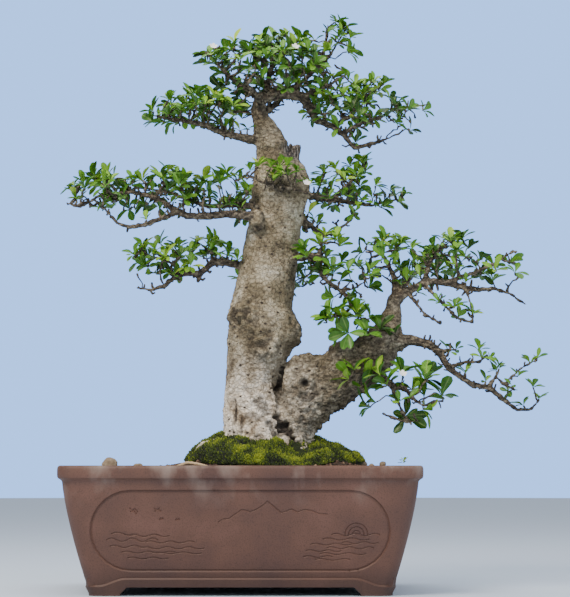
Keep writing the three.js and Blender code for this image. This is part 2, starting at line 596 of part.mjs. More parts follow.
// The moss carpet's outer shape, before the soil and the wood are cut out of it.
function mossDome() {
  const geometry = new THREE.SphereGeometry(1, 28, 8);
  geometry.rotateX(Math.PI / 2);
  const points = geometry.getAttribute("position");
  for (let i = 0; i < points.count; i++) {
    const x = MOUND_CENTRE.x + (points.getX(i) * MOSS_LENGTH) / 2;
    const y = MOUND_CENTRE.y + (points.getY(i) * MOSS_DEPTH) / 2;
    const rise = points.getZ(i);
    const thick = rise > 0 ? MOSS_THICKNESS * Math.sqrt(rise) : 2 * MOSS_THICKNESS * rise;
    points.setXYZ(i, x, y, soilTop(x, y) + thick);
  }
  return solidOf(geometry);
}

// A tall wedge from the mound's middle, between two bearings in degrees.
function sector(from, to) {
  const reach = POT_LENGTH;
  const shape = new THREE.Shape();
  shape.moveTo(0, 0);
  for (let step = 0; step <= 4; step++) {
    const bearing = THREE.MathUtils.degToRad(from + ((to - from) * step) / 4);
    shape.lineTo(reach * Math.cos(bearing), reach * Math.sin(bearing));
  }
  const middle = THREE.MathUtils.degToRad((from + to) / 2);
  const geometry = new THREE.ExtrudeGeometry(shape, { depth: 2 * POT_HEIGHT, bevelEnabled: false });
  geometry.translate(
    MOUND_CENTRE.x + MOSS_SEAM * Math.cos(middle),
    MOUND_CENTRE.y + MOSS_SEAM * Math.sin(middle),
    0,
  );
  return solidOf(geometry);
}

const MOSS_SHEETS = {
  moss_right: [-48, 42],
  moss_back: [42, 138],
  moss_left: [138, 236],
  moss_front: [236, 312],
};

// Loose pieces on the soil: how far inside the lip's outline, and half sizes.
const PEBBLES = {
  pebble_left: { inset: 66, side: -1, y: -92, half: [12, 10, 12] },
  pebble_left_small: { inset: 50, side: -1, y: -60, half: [5, 4.5, 4] },
  pebble_right_front: { inset: 68, side: 1, y: -96, half: [4.5, 4, 3.6] },
  pebble_right_middle: { inset: 50, side: 1, y: -40, half: [5.5, 5, 4.4] },
  pebble_right_back: { inset: 74, side: 1, y: 72, half: [8, 6.5, 5.5] },
  pebble_back: { inset: 92, side: -1, y: 88, half: [9, 7.5, 6] },
};

function buildPebble({ inset, side, y, half }, swell = 0) {
  const x = side * (POT_LENGTH / 2 - inset);
  const z = soilTop(x, y) + 0.5 * half[2];
  return lump([x, y, z, ...half], swell);
}

function buildDryRoot(swell = 0) {
  const [x, y] = [-92, -112];
  const z = soilTop(x, y);
  const points = [
    [x, y, z + 1, 2.2], [x + 16, y + 4, z + 8, 2.4], [x + 34, y, z + 6, 2.2], [x + 52, y - 6, z + 1, 1.8],
  ];
  return limb(points, 7, 2, swell);
}

function buildSprout(swell = 0) {
  const x = POT_LENGTH / 2 - 26;
  const y = -POT_DEPTH / 2 + 44;
  const z = soilTop(x, y);
  const stem = limb([[x, y, z, 1.5], [x, y, z + 12, 1.5]], 6, 1, swell);
  return joined([stem, lump([x, y, z + 14, 8, 7, 5], swell)]);
}

// ---- Assembly -----------------------------------------------------------------------------------

// Tree solids are drawn from the rim, at TREE_SCALE.
const planted = (solid) => solid.scale(TREE_SCALE).translate([0, 0, POT_HEIGHT]);

const wood = largest(planted(buildWood()), WOOD_DETAIL);
const woodRoom = largest(planted(buildWood(WOOD_CLEARANCE)), WOOD_DETAIL);
const flowerRooms = Object.values(FLOWERS).map((at) => planted(buildFlower(at, WOOD_CLEARANCE)));

const group = new THREE.Group();
const place = (...piece) => group.add(meshOf(...piece));

place("pot", CLAY, buildPot());
[-1, 1].forEach((side) => {
  place(side < 0 ? "drain_screen_left" : "drain_screen_right", MESH_PLASTIC, buildScreen(side));
});
place("soil", SOIL, cut(soilBody(0, CLEARANCE), screenRoom(-1), screenRoom(1), woodRoom));
place("trunk_and_branches", BARK, wood);

const raisedSoil = soilBody(CLEARANCE, CLEARANCE);
const insideWall = potShape(cavityLevels(CAVITY_FLOOR, 2 * POT_HEIGHT, 4 * CLEARANCE));
const looseRooms = [
  ...Object.values(PEBBLES).map((pebble) => buildPebble(pebble, CLEARANCE)),
  buildDryRoot(CLEARANCE),
  buildSprout(CLEARANCE),
];
const carpet = cut(mossDome().intersect(insideWall), raisedSoil, woodRoom, ...looseRooms);
for (const [name, [from, to]] of Object.entries(MOSS_SHEETS)) {
  place(name, MOSS, carpet.intersect(sector(from, to)));
}

// A pad gives way to the wood, the flowers and the pads placed before it.
let taken = [woodRoom, ...flowerRooms];
for (const [name, lumps] of Object.entries(PADS)) {
  place(name, LEAF, cut(planted(joined(lumps.map((at) => lump(at)))), ...taken), LEAF_DETAIL);
  taken = [...taken, planted(joined(lumps.map((at) => lump(at, WOOD_CLEARANCE))))];
}

for (const [name, at] of Object.entries(FLOWERS)) {
  place(name, PETAL, planted(buildFlower(at)));
}
for (const [name, pebble] of Object.entries(PEBBLES)) {
  place(name, STONE, cut(buildPebble(pebble), raisedSoil));
}
place("dry_root", DRY_ROOT, cut(buildDryRoot(), raisedSoil));
place("weed_sprout", LEAF, cut(buildSprout(), raisedSoil));

const box = new THREE.Box3().setFromObject(group);
const middle = box.getCenter(new THREE.Vector3());
group.position.set(-middle.x, -middle.y, -box.min.z);

export default group;
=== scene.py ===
# A bonsai tree in a rectangular unglazed clay pot.
#
# The tree's wood starts from the CAD solid and gets its burls, knots and bark here. Twigs grow from
# it through each pad of foliage, and many of the twigs carry leaves. Moss, grains of soil and pebbles lie
# in the pot, whose walls, panels and incised lines are modelled at its true size.

import math
from functools import partial

import bmesh
import bpy
import numpy as np
from mathutils import Matrix, Vector, noise
from mathutils.bvhtree import BVHTree


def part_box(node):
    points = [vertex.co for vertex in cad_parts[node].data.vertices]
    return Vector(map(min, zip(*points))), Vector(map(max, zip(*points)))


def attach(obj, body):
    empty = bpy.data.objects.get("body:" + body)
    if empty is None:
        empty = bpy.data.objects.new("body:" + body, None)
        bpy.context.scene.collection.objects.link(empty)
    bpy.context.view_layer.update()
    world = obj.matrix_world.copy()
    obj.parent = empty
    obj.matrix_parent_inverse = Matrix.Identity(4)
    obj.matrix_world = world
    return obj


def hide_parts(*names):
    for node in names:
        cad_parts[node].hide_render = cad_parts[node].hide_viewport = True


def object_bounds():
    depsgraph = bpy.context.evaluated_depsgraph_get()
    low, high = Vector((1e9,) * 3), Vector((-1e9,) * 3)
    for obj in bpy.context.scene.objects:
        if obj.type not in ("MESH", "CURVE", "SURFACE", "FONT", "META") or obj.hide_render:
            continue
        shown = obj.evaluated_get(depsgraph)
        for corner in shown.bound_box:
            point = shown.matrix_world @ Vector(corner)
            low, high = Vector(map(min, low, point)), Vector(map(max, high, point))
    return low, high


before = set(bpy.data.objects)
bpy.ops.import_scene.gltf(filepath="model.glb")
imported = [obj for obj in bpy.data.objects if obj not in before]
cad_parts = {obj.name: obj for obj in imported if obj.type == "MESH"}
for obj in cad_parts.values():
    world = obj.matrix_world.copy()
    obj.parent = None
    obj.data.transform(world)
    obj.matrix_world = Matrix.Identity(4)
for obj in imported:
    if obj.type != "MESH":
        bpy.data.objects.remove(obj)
CAD_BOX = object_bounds()
RANDOM = np.random.default_rng(41)

MM = 0.001
POT_LOW, POT_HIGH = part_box("pot")
POT_MIDDLE = (POT_LOW + POT_HIGH) / 2
RIM = POT_HIGH.z
UP = Vector((0, 0, 1))


def from_rim(x, y, z):
    """A place in millimetres from the middle of the pot's rim."""
    return Vector((POT_MIDDLE.x + x * MM, POT_MIDDLE.y + y * MM, RIM + z * MM))


# ---- Camera -------------------------------------------------------------------------------------

CAMERA_SIDE = 61
CAMERA_DISTANCE = 2800
CAMERA_TILT = 4.94
LENS = 122


def add_camera():
    camera = bpy.data.objects.new("camera", bpy.data.cameras.new("camera"))
    bpy.context.scene.collection.objects.link(camera)
    camera.location = from_rim(CAMERA_SIDE, -CAMERA_DISTANCE, 0)
    camera.rotation_euler = (math.radians(90 + CAMERA_TILT), 0, 0)
    camera.data.sensor_fit = "HORIZONTAL"
    camera.data.sensor_width = 36
    camera.data.lens = LENS
    camera.data.clip_end = 50
    bpy.context.scene.camera = camera


# ---- Modelling helpers --------------------------------------------------------------------------


def deselect():
    if bpy.context.object and bpy.context.object.mode != "OBJECT":
        bpy.ops.object.mode_set(mode="OBJECT")
    bpy.ops.object.select_all(action="DESELECT")


def activate(piece):
    deselect()
    piece.select_set(True)
    bpy.context.view_layer.objects.active = piece


def settle(piece):
    """Moves the object's place, turn and size into its mesh."""
    activate(piece)
    bpy.ops.object.transform_apply(location=True, rotation=True, scale=True)


def finish_with(piece, kind, **settings):
    """Adds a modifier and applies it."""
    activate(piece)
    modifier = piece.modifiers.new(kind.lower(), kind)
    for key, value in settings.items():
        setattr(modifier, key, value)
    bpy.ops.object.modifier_apply(modifier=modifier.name)


def pick(piece, kind, test):
    """In edit mode, selects only the verts, edges or faces whose middle passes the test."""
    bpy.ops.mesh.select_all(action="DESELECT")
    bpy.ops.mesh.select_mode(type={"verts": "VERT", "edges": "EDGE", "faces": "FACE"}[kind])
    mesh = bmesh.from_edit_mesh(piece.data)
    for part in getattr(mesh, kind):
        if kind == "verts":
            chosen = test(part.co, part)
        else:
            middle = sum((v.co for v in part.verts), Vector()) / len(part.verts)
            chosen = test(middle, part)
        part.select_set(bool(chosen))
    mesh.select_flush_mode()
    bmesh.update_edit_mesh(piece.data)


def shade_smooth(piece, angle=None):
    activate(piece)
    if angle is None:
        bpy.ops.object.shade_smooth()
    else:
        bpy.ops.object.shade_smooth_by_angle(angle=math.radians(angle))


def present(piece, material, replaces=()):
    """Gives a finished piece its material and its place in the model."""
    piece.data.materials.clear()
    piece.data.materials.append(material)
    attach(piece, "root")
    if replaces:
        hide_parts(*replaces)
    return piece


def copy_of(name, nodes):
    """One new mesh from copies of CAD nodes, with their loose triangles merged."""
    deselect()
    copies = []
    for node in nodes:
        duplicate = bpy.data.objects.new(name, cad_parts[node].data.copy())
        bpy.context.scene.collection.objects.link(duplicate)
        copies.append(duplicate)
    for duplicate in copies:
        duplicate.select_set(True)
    bpy.context.view_layer.objects.active = copies[0]
    bpy.ops.object.join()
    piece = bpy.context.object
    piece.name = name
    bpy.ops.object.mode_set(mode="EDIT")
    bpy.ops.mesh.select_all(action="SELECT")
    bpy.ops.mesh.remove_doubles(threshold=0.00002)
    bpy.ops.object.mode_set(mode="OBJECT")
    return piece


def coordinates(piece):
    flat = np.empty(len(piece.data.vertices) * 3, np.float32)
    piece.data.vertices.foreach_get("co", flat)
    return flat.reshape(-1, 3)


def normals(piece):
    flat = np.empty(len(piece.data.vertices) * 3, np.float32)
    piece.data.vertices.foreach_get("normal", flat)
    return flat.reshape(-1, 3)


def move_to(piece, points):
    piece.data.vertices.foreach_set("co", np.asarray(points, np.float32).ravel())
    piece.data.update()


def fine_skin(name, node, voxel, smoothing, passes):
    """A finely meshed, smoothed copy of a CAD node, with its points and normals."""
    piece = copy_of(name, [node])
    finish_with(piece, "REMESH", mode="VOXEL", voxel_size=voxel * MM)
    finish_with(piece, "SMOOTH", factor=smoothing, iterations=passes)
    return piece, coordinates(piece), normals(piece)


def paint(piece, name, values):
    """Writes one number per vertex for the material to read."""
    attribute = piece.data.attributes.new(name, "FLOAT", "POINT")
    attribute.data.foreach_set("value", np.asarray(values, np.float32))


def noise_at(points, size, offset=0.0, stretch=(1, 1, 1)):
    """Smooth noise from -1 to 1 at each point, with lumps of the given size in millimetres."""
    scaled = points / (np.array(stretch) * size * MM) + offset
    return np.array([noise.noise(Vector(p)) for p in scaled.tolist()], np.float32)


def smoothstep(low, high, value):
    share = np.clip((value - low) / (high - low), 0, 1)
    return share * share * (3 - 2 * share)


def scatter(name, template, frames, tones):
    """Copies of a template mesh joined in one: each frame is a 3 by 4 matrix, each tone one number."""
    points = coordinates(template)
    corners = len(template.data.polygons[0].vertices)
    faces = np.array([list(p.vertices) for p in template.data.polygons], np.int32)
    frames = np.asarray(frames, np.float32)
    count = len(frames)
    placed = np.einsum("nij,vj->nvi", frames[:, :, :3], points) + frames[:, None, :, 3]
    every = faces[None] + (np.arange(count, dtype=np.int32) * len(points))[:, None, None]
    mesh = bpy.data.meshes.new(name)
    mesh.vertices.add(count * len(points))
    mesh.vertices.foreach_set("co", placed.ravel())
    mesh.loops.add(every.size)
    mesh.loops.foreach_set("vertex_index", every.ravel())
    mesh.polygons.add(count * len(faces))
    mesh.polygons.foreach_set("loop_start", np.arange(0, every.size, corners, dtype=np.int32))
    mesh.polygons.foreach_set("use_smooth", np.ones(count * len(faces), bool))
    if template.data.uv_layers:
        flat = np.empty(len(template.data.loops) * 2, np.float32)
        template.data.uv_layers[0].data.foreach_get("uv", flat)
        mesh.uv_layers.new(name="across_and_along")
        mesh.uv_layers[0].data.foreach_set("uv", np.tile(flat, count))
    mesh.update(calc_edges=True)
    piece = bpy.data.objects.new(name, mesh)
    bpy.context.scene.collection.objects.link(piece)
    paint(piece, "tone", np.repeat(tones, len(points)))
    return piece


def facing(place, direction, normal, size, width=1.0):
    """A frame whose Y runs along direction and Z along normal."""
    along = direction.normalized()
    across = along.cross(normal).normalized()
    lift = across.cross(along)
    return [
        [across[i] * size * width, along[i] * size, lift[i] * size, place[i]] for i in range(3)
    ]


def tubes(name, chains, sides=1):
    """A mesh of round tubes: each chain is a list of points with a radius."""
    curve = bpy.data.curves.new(name, "CURVE")
    curve.dimensions = "3D"
    curve.bevel_depth = 1.0
    curve.bevel_resolution = sides
    curve.use_fill_caps = True
    for chain in chains:
        spline = curve.splines.new("POLY")
        spline.points.add(len(chain) - 1)
        for point, (place, radius) in zip(spline.points, chain):
            point.co = (*place, 1)
            point.radius = radius
    piece = bpy.data.objects.new(name, curve)
    bpy.context.scene.collection.objects.link(piece)
    activate(piece)
    bpy.ops.object.convert(target="MESH")
    piece = bpy.context.object
    piece.data.name = name
    return piece


# ---- Materials ----------------------------------------------------------------------------------


def colour(code):
    """An sRGB hex colour as linear RGBA."""
    channels = [int(code[i : i + 2], 16) / 255 for i in (1, 3, 5)]
    linear = [c / 12.92 if c <= 0.04045 else ((c + 0.055) / 1.055) ** 2.4 for c in channels]
    return (*linear, 1)


def add_node(tree, kind, inputs=None, stops=None, **settings):
    """Adds a node with its settings and a ramp's stops. An input is a value, a socket or a node."""
    node = tree.nodes.new("ShaderNode" + kind)
    for key, value in settings.items():
        setattr(node, key, value)
    for socket, value in (inputs or {}).items():
        if isinstance(value, bpy.types.Node):
            value = next(out for out in value.outputs if out.enabled)
        if isinstance(value, bpy.types.NodeSocket):
            tree.links.new(value, node.inputs[socket])
        else:
            node.inputs[socket].default_value = value
    if stops:
        ramp = node.color_ramp
        while len(ramp.elements) < len(stops):
            ramp.elements.new(0.5)
        for element, (position, code) in zip(ramp.elements, stops):
            element.position = position
            element.color = colour(code)
    return node


def start(name, **values):
    """A new material, its surface shader, its Object coordinates and its way to add nodes."""
    material = bpy.data.materials.new(name)
    material.use_nodes = True
    shader = material.node_tree.nodes["Principled BSDF"]
    for socket, value in values.items():
        shader.inputs[socket.replace("_", " ")].default_value = value
    add = partial(add_node, material.node_tree)
    return material, shader, add("TexCoord").outputs["Object"], add


def per_metre(millimetres):
    """A noise scale for a pattern of that size."""
    return 1000 / millimetres


# Stoneware clay, fired without a glaze: a close matt skin with fine pits, clouded where the kiln
# and hard water have left it paler. Salt runs down from the rim, and painted shade darkens the feet.
SALT_REACH = 0.06
# How far up from the ground the painted shade on the feet reaches.
FOOT_SHADE_REACH = 0.05


def fired_clay():
    material, shader, place, add = start("fired_stoneware", Roughness=0.62, IOR=1.5)
    link = material.node_tree.links.new
    cloud = add("TexNoise", {"Vector": place, "Scale": per_metre(70), "Detail": 4})
    body = add(
        "ValToRGB", {"Fac": cloud}, stops=[(0.3, "#51352b"), (0.55, "#604032"), (0.78, "#6f4c3f")]
    )
    grit = add("TexNoise", {"Vector": place, "Scale": per_metre(1.6), "Detail": 2})
    speck = add("ValToRGB", {"Fac": grit}, stops=[(0.3, "#c4c0bc"), (0.5, "#ffffff"), (0.7, "#ffffff")])
    dusted = add("Mix", {0: 0.7, 6: body, 7: speck}, data_type="RGBA", blend_type="MULTIPLY")
    height = add("SeparateXYZ", {0: place}).outputs["Z"]
    near_rim = add(
        "MapRange",
        {"Value": height, "From Min": RIM - SALT_REACH, "From Max": RIM - 0.002, "To Max": 0.62},
    )
    runs = add("Mapping", {"Vector": place, "Scale": (1, 1, 0.6)})
    streak = add("TexNoise", {"Vector": runs, "Scale": per_metre(45), "Detail": 7})
    sharp = add("MapRange", {"Value": streak, "From Min": 0.5, "From Max": 0.68})
    salt = add("Math", {0: near_rim, 1: sharp}, operation="MULTIPLY")
    stained = add("Mix", {0: salt, 6: dusted, 7: colour("#9b8a7e")}, data_type="RGBA")
    # Painted shade: the clay is mixed towards a dark brown near the ground.
    foot_shade = add(
        "MapRange",
        {"Value": height, "From Min": FOOT_SHADE_REACH, "From Max": 0, "To Min": 0, "To Max": 0.6},
    )
    foot_shaded = add("Mix", {0: foot_shade, 6: stained, 7: colour("#33231d")}, data_type="RGBA")
    link(foot_shaded.outputs[2], shader.inputs["Base Color"])
    rough = add("MapRange", {"Value": cloud, "To Min": 0.48, "To Max": 0.72})
    link(rough.outputs[0], shader.inputs["Roughness"])
    pits = add("TexNoise", {"Vector": place, "Scale": per_metre(2.6), "Detail": 5})
    bump = add("Bump", {"Height": pits, "Strength": 0.22, "Distance": 0.0008})
    link(bump.outputs[0], shader.inputs["Normal"])
    return material


# Bark of an old trunk, pale and dry, dashed with dark lenticels across the grain. Young wood is
# brown, dead wood grey, and rot in a hollow nearly black. The young wood's brown is also painted
# as shade on the low trunk's right side, and the near black as shade in the seams between warts
# and in the low trunk's wrinkles.
def bark():
    material, shader, place, add = start("pale_bark", Roughness=0.82, IOR=1.45)
    link = material.node_tree.links.new
    patch = add("TexNoise", {"Vector": place, "Scale": per_metre(34), "Detail": 7})
    old = add(
        "ValToRGB",
        {"Fac": patch},
        stops=[(0.3, "#584e3b"), (0.43, "#82765d"), (0.52, "#a0937a"), (0.63, "#b9ae96"), (0.8, "#cdc5b2")],
    )
    bleached = add(
        "ValToRGB",
        {"Fac": patch},
        stops=[(0.3, "#85735e"), (0.38, "#cdbca5"), (0.46, "#faecd9"), (0.6, "#fff6e8")],
    )
    pale = add("Attribute", attribute_name="pale").outputs["Fac"]
    weathered = add("Mix", {0: pale, 6: old, 7: bleached}, data_type="RGBA")
    flat = add("Mapping", {"Vector": place, "Scale": (1, 1, 1.4)})
    dash = add("TexVoronoi", {"Vector": flat, "Scale": per_metre(13), "Randomness": 1})
    inside = add(
        "MapRange", {"Value": dash, "From Min": 0.13, "From Max": 0.24, "To Min": 1, "To Max": 0}
    )
    chance = add("TexNoise", {"Vector": place, "Scale": per_metre(22), "Detail": 1})
    some = add("MapRange", {"Value": chance, "From Min": 0.4, "From Max": 0.5})
    lenticel = add("Math", {0: inside, 1: some}, operation="MULTIPLY")
    dashed = add("Mix", {0: lenticel, 6: weathered, 7: colour("#3d332a")}, data_type="RGBA")
    across = add("Mapping", {"Vector": place, "Scale": (1, 1, 1.7)})
    grain = add("TexNoise", {"Vector": across, "Scale": per_metre(7), "Detail": 9})
    fine = add(
        "ValToRGB",
        {"Fac": grain},
        stops=[(0.32, "#6a6155"), (0.42, "#b9b1a3"), (0.5, "#e9e5dd"), (0.58, "#ffffff")],
    )
    trunk = add("Mix", {0: 0.7, 6: dashed, 7: fine}, data_type="RGBA", blend_type="MULTIPLY")
    limb_colour = add(
        "ValToRGB", {"Fac": grain}, stops=[(0.32, "#29231d"), (0.5, "#544a3d"), (0.68, "#93866f")]
    )
    # The young attribute carries young wood and also painted shade on the low trunk's right side.
    young = add("Attribute", attribute_name="young").outputs["Fac"]
    young_and_shaded = add("Mix", {0: young, 6: trunk, 7: limb_colour}, data_type="RGBA")
    dead = add("Attribute", attribute_name="dead").outputs["Fac"]
    upright = add("Mapping", {"Vector": place, "Scale": (1, 1, 0.08)})
    fibres = add("TexNoise", {"Vector": upright, "Scale": per_metre(3), "Detail": 3})
    torn_wood = add(
        "ValToRGB", {"Fac": fibres}, stops=[(0.36, "#1d1917"), (0.5, "#575049"), (0.64, "#9a9188")]
    )
    greyed = add("Mix", {0: dead, 6: young_and_shaded, 7: torn_wood}, data_type="RGBA")
    # The hollow attribute carries rot and also painted shade in the seams between warts and in the low
    # trunk's wrinkles.
    hollow = add("Attribute", attribute_name="hollow").outputs["Fac"]
    rot_and_crevice_shade = add("Mix", {0: hollow, 6: greyed, 7: colour("#241c17")}, data_type="RGBA")
    link(rot_and_crevice_shade.outputs[2], shader.inputs["Base Color"])
    cracks = add("TexVoronoi", {"Vector": place, "Scale": per_metre(6)}, feature="DISTANCE_TO_EDGE")
    crevice = add("MapRange", {"Value": cracks, "From Min": 0, "From Max": 0.12})
    skin = add("Math", {0: grain, 1: crevice}, operation="ADD")
    bump = add("Bump", {"Height": skin, "Strength": 0.8, "Distance": 0.0022})
    link(bump.outputs[0], shader.inputs["Normal"])
    return material


# Waxy evergreen leaf: a glossy upper skin with a paler midrib, its green set by a tone that is lighter high
# in each pad and darker low in it, as painted light and shade.
def leaf_skin():
    material, shader, place, add = start("waxy_leaf", Roughness=0.42, IOR=1.38)
    shader.inputs["Subsurface Weight"].default_value = 0.08
    shader.inputs["Subsurface Scale"].default_value = 0.002
    link = material.node_tree.links.new
    tone = add("Attribute", attribute_name="tone").outputs["Fac"]
    mottle = add("TexNoise", {"Vector": place, "Scale": per_metre(6), "Detail": 3})
    shift = add(
        "MapRange", {"Value": mottle, "From Min": 0.3, "From Max": 0.7, "To Min": -0.08, "To Max": 0.08}
    )
    mixed = add("Math", {0: tone, 1: shift}, operation="ADD")
    green = add(
        "ValToRGB",
        {"Fac": mixed},
        stops=[(0.0, "#1d360b"), (0.25, "#376318"), (0.5, "#588b24"), (0.78, "#82ae33"), (1.0, "#b9cd4c")],
    )
    uv = add("UVMap", uv_map="across_and_along")
    split = add("SeparateXYZ", {0: uv})
    middle = add("Math", {0: split.outputs["X"], 1: 0.5}, operation="SUBTRACT")
    off = add("Math", {0: middle}, operation="ABSOLUTE")
    rib = add(
        "MapRange", {"Value": off, "From Min": 0.02, "From Max": 0.09, "To Min": 0.22, "To Max": 0}
    )
    ribbed = add("Mix", {0: rib, 6: green, 7: colour("#b9c97c")}, data_type="RGBA")
    link(ribbed.outputs[2], shader.inputs["Base Color"])
    return material


# Petal: thin white tissue, a little see-through.
def petal_skin():
    material, shader, _, add = start("white_petal", Roughness=0.55)
    shader.inputs["Subsurface Weight"].default_value = 0.15
    shader.inputs["Subsurface Scale"].default_value = 0.001
    tone = add("Attribute", attribute_name="tone").outputs["Fac"]
    shade = add("ValToRGB", {"Fac": tone}, stops=[(0.0, "#c8a92e"), (0.4, "#e6e2cc"), (1.0, "#f6f4ee")])
    material.node_tree.links.new(shade.outputs[0], shader.inputs["Base Color"])
    return material


# Live moss: a soft, deep pile, yellow-green at the tips and dark between them, with painted shade in the
# hollows between its lumps and painted light on their tops.
def moss_pile():
    material, shader, place, add = start("live_moss", Roughness=0.95)
    shader.inputs["Sheen Weight"].default_value = 0.04
    link = material.node_tree.links.new
    lumps = add("TexNoise", {"Vector": place, "Scale": per_metre(22), "Detail": 6})
    # The tone attribute adds painted light on top of the moss's lumps and painted shade in the hollows
    # between them.
    tone = add("Attribute", attribute_name="tone").outputs["Fac"]
    depth = add("Math", {0: lumps, 1: tone}, operation="ADD")
    half = add("Math", {0: depth, 1: 0.5}, operation="MULTIPLY")
    green = add(
        "ValToRGB",
        {"Fac": half},
        stops=[(0.38, "#0b1103"), (0.48, "#2c3a07"), (0.58, "#55680c"), (0.72, "#929c22")],
    )
    link(green.outputs[0], shader.inputs["Base Color"])
    pile = add("TexNoise", {"Vector": place, "Scale": per_metre(2), "Detail": 3})
    bump = add("Bump", {"Height": pile, "Strength": 0.8, "Distance": 0.002})
    link(bump.outputs[0], shader.inputs["Normal"])
    return material


# Loose mineral grains, from dark lava to tan baked clay, each its own shade.
def mineral(name, stops, size):
    material, shader, place, add = start(name, Roughness=0.9)
    link = material.node_tree.links.new
    tone = add("Attribute", attribute_name="tone").outputs["Fac"]
    speckle = add("TexNoise", {"Vector": place, "Scale": per_metre(size), "Detail": 5})
    shift = add(
        "MapRange", {"Value": speckle, "From Min": 0.3, "From Max": 0.7, "To Min": -0.2, "To Max": 0.2}
    )
    mixed = add("Math", {0: tone, 1: shift}, operation="ADD")
    shade = add("ValToRGB", {"Fac": mixed}, stops=stops)
    link(shade.outputs[0], shader.inputs["Base Color"])
    bump = add("Bump", {"Height": speckle, "Strength": 0.5, "Distance": 0.0008})
    link(bump.outputs[0], shader.inputs["Normal"])
    return material


# Polypropylene mesh: moulded black plastic with a dull, slightly uneven skin.
def screen_plastic():
    material, shader, place, add = start("moulded_mesh_plastic", Roughness=0.5, IOR=1.49)
    link = material.node_tree.links.new
    dust = add("TexNoise", {"Vector": place, "Scale": per_metre(5), "Detail": 3})
    shade = add("ValToRGB", {"Fac": dust}, stops=[(0.35, "#16181a"), (0.7, "#302c28")])
    link(shade.outputs[0], shader.inputs["Base Color"])
    bump = add("Bump", {"Height": dust, "Strength": 0.15, "Distance": 0.0005})
    link(bump.outputs[0], shader.inputs["Normal"])
    return material


# ---- Pot ----------------------------------------------------------------------------------------

# Sizes in millimetres.
POT_LENGTH = (POT_HIGH.x - POT_LOW.x) / MM
POT_DEPTH = (POT_HIGH.y - POT_LOW.y) / MM
POT_HEIGHT = (POT_HIGH.z - POT_LOW.z) / MM
SOIL_DROP = 6
LIP_HEIGHT = 18
LIP_OVERHANG = 6
LIP_ROUND = 3
POT_TAPER = 37
TAPER_POWER = 1.35
POT_WALL = 13
POT_FLOOR = 12
FOOT_HEIGHT = 12
FOOT_LENGTH = 44
FOOT_DEPTH = 40
APRON_HEIGHT = 24
BAND_HEIGHT = 14
DIP_START = 20
DIP_END = 57
APRON_DEPTH = 2
CORNER_RADIUS = 16
PANEL_DEPTH = 2
PANEL_LOW = 35
PANEL_HIGH = 143
PANEL_MARGIN = 6
DRAIN_RADIUS = 12
DRAIN_SPACING = 230
UNDER_LIP = POT_HEIGHT - LIP_HEIGHT
GROOVE_RADIUS = 2.6
LINE_RADIUS = 1.4


def wall_inset(z):
    """How far the wall lies inside the lip's outline, z millimetres above the ground."""
    down = 1 - min(z, UNDER_LIP) / UNDER_LIP
    return LIP_OVERHANG + POT_TAPER * down**TAPER_POWER


def on_ground(x, y, z):
    """A place in millimetres from the middle of the pot's plan, on the ground."""
    return Vector((POT_MIDDLE.x + x * MM, POT_MIDDLE.y + y * MM, POT_LOW.z + z * MM))


def raise_walls(levels):
    """Extrudes the selected top face through levels (z, inset)."""
    z_now, inset_now = levels[0]
    for z, inset in levels[1:]:
        wide = (POT_LENGTH / 2 - inset) / (POT_LENGTH / 2 - inset_now)
        deep = (POT_DEPTH / 2 - inset) / (POT_DEPTH / 2 - inset_now)
        lift = {"value": (0, 0, (z - z_now) * MM)}
        bpy.ops.mesh.extrude_region_move(TRANSFORM_OT_translate=lift)
        middle = on_ground(0, 0, z)
        bpy.ops.transform.resize(value=(wide, deep, 1), center_override=middle)
        z_now, inset_now = z, inset


def lower_band(pot):
    """Dips the top edge of the raised band near the corners of the pot."""
    places = coordinates(pot)
    z = (places[:, 2] - POT_LOW.z) / MM
    x = (places[:, 0] - POT_MIDDLE.x) / MM
    y = (places[:, 1] - POT_MIDDLE.y) / MM
    inset = np.array([wall_inset(height) for height in z])
    beyond_x = POT_LENGTH / 2 - inset - np.abs(x)
    beyond_y = POT_DEPTH / 2 - inset - np.abs(y)
    outer = np.minimum(beyond_x, beyond_y) < 3
    edge = outer & (z > APRON_HEIGHT - 2) & (z < APRON_HEIGHT + 1.5)
    from_corner = np.maximum(beyond_x, beyond_y)
    climb = smoothstep(DIP_START, DIP_END, from_corner)
    lowered = z - (APRON_HEIGHT - BAND_HEIGHT) * (1 - climb)
    drawn_in = np.array([wall_inset(height) for height in lowered]) - inset
    on_front = beyond_y < beyond_x
    corner = np.abs(beyond_x - beyond_y) < CORNER_RADIUS
    move_x = -np.sign(x) * drawn_in * (~on_front | corner)
    move_y = -np.sign(y) * drawn_in * (on_front | corner)
    places[:, 0] += np.where(edge, move_x, 0) * MM
    places[:, 1] += np.where(edge, move_y, 0) * MM
    places[:, 2] = np.where(edge, POT_LOW.z + lowered * MM, places[:, 2])
    move_to(pot, places)


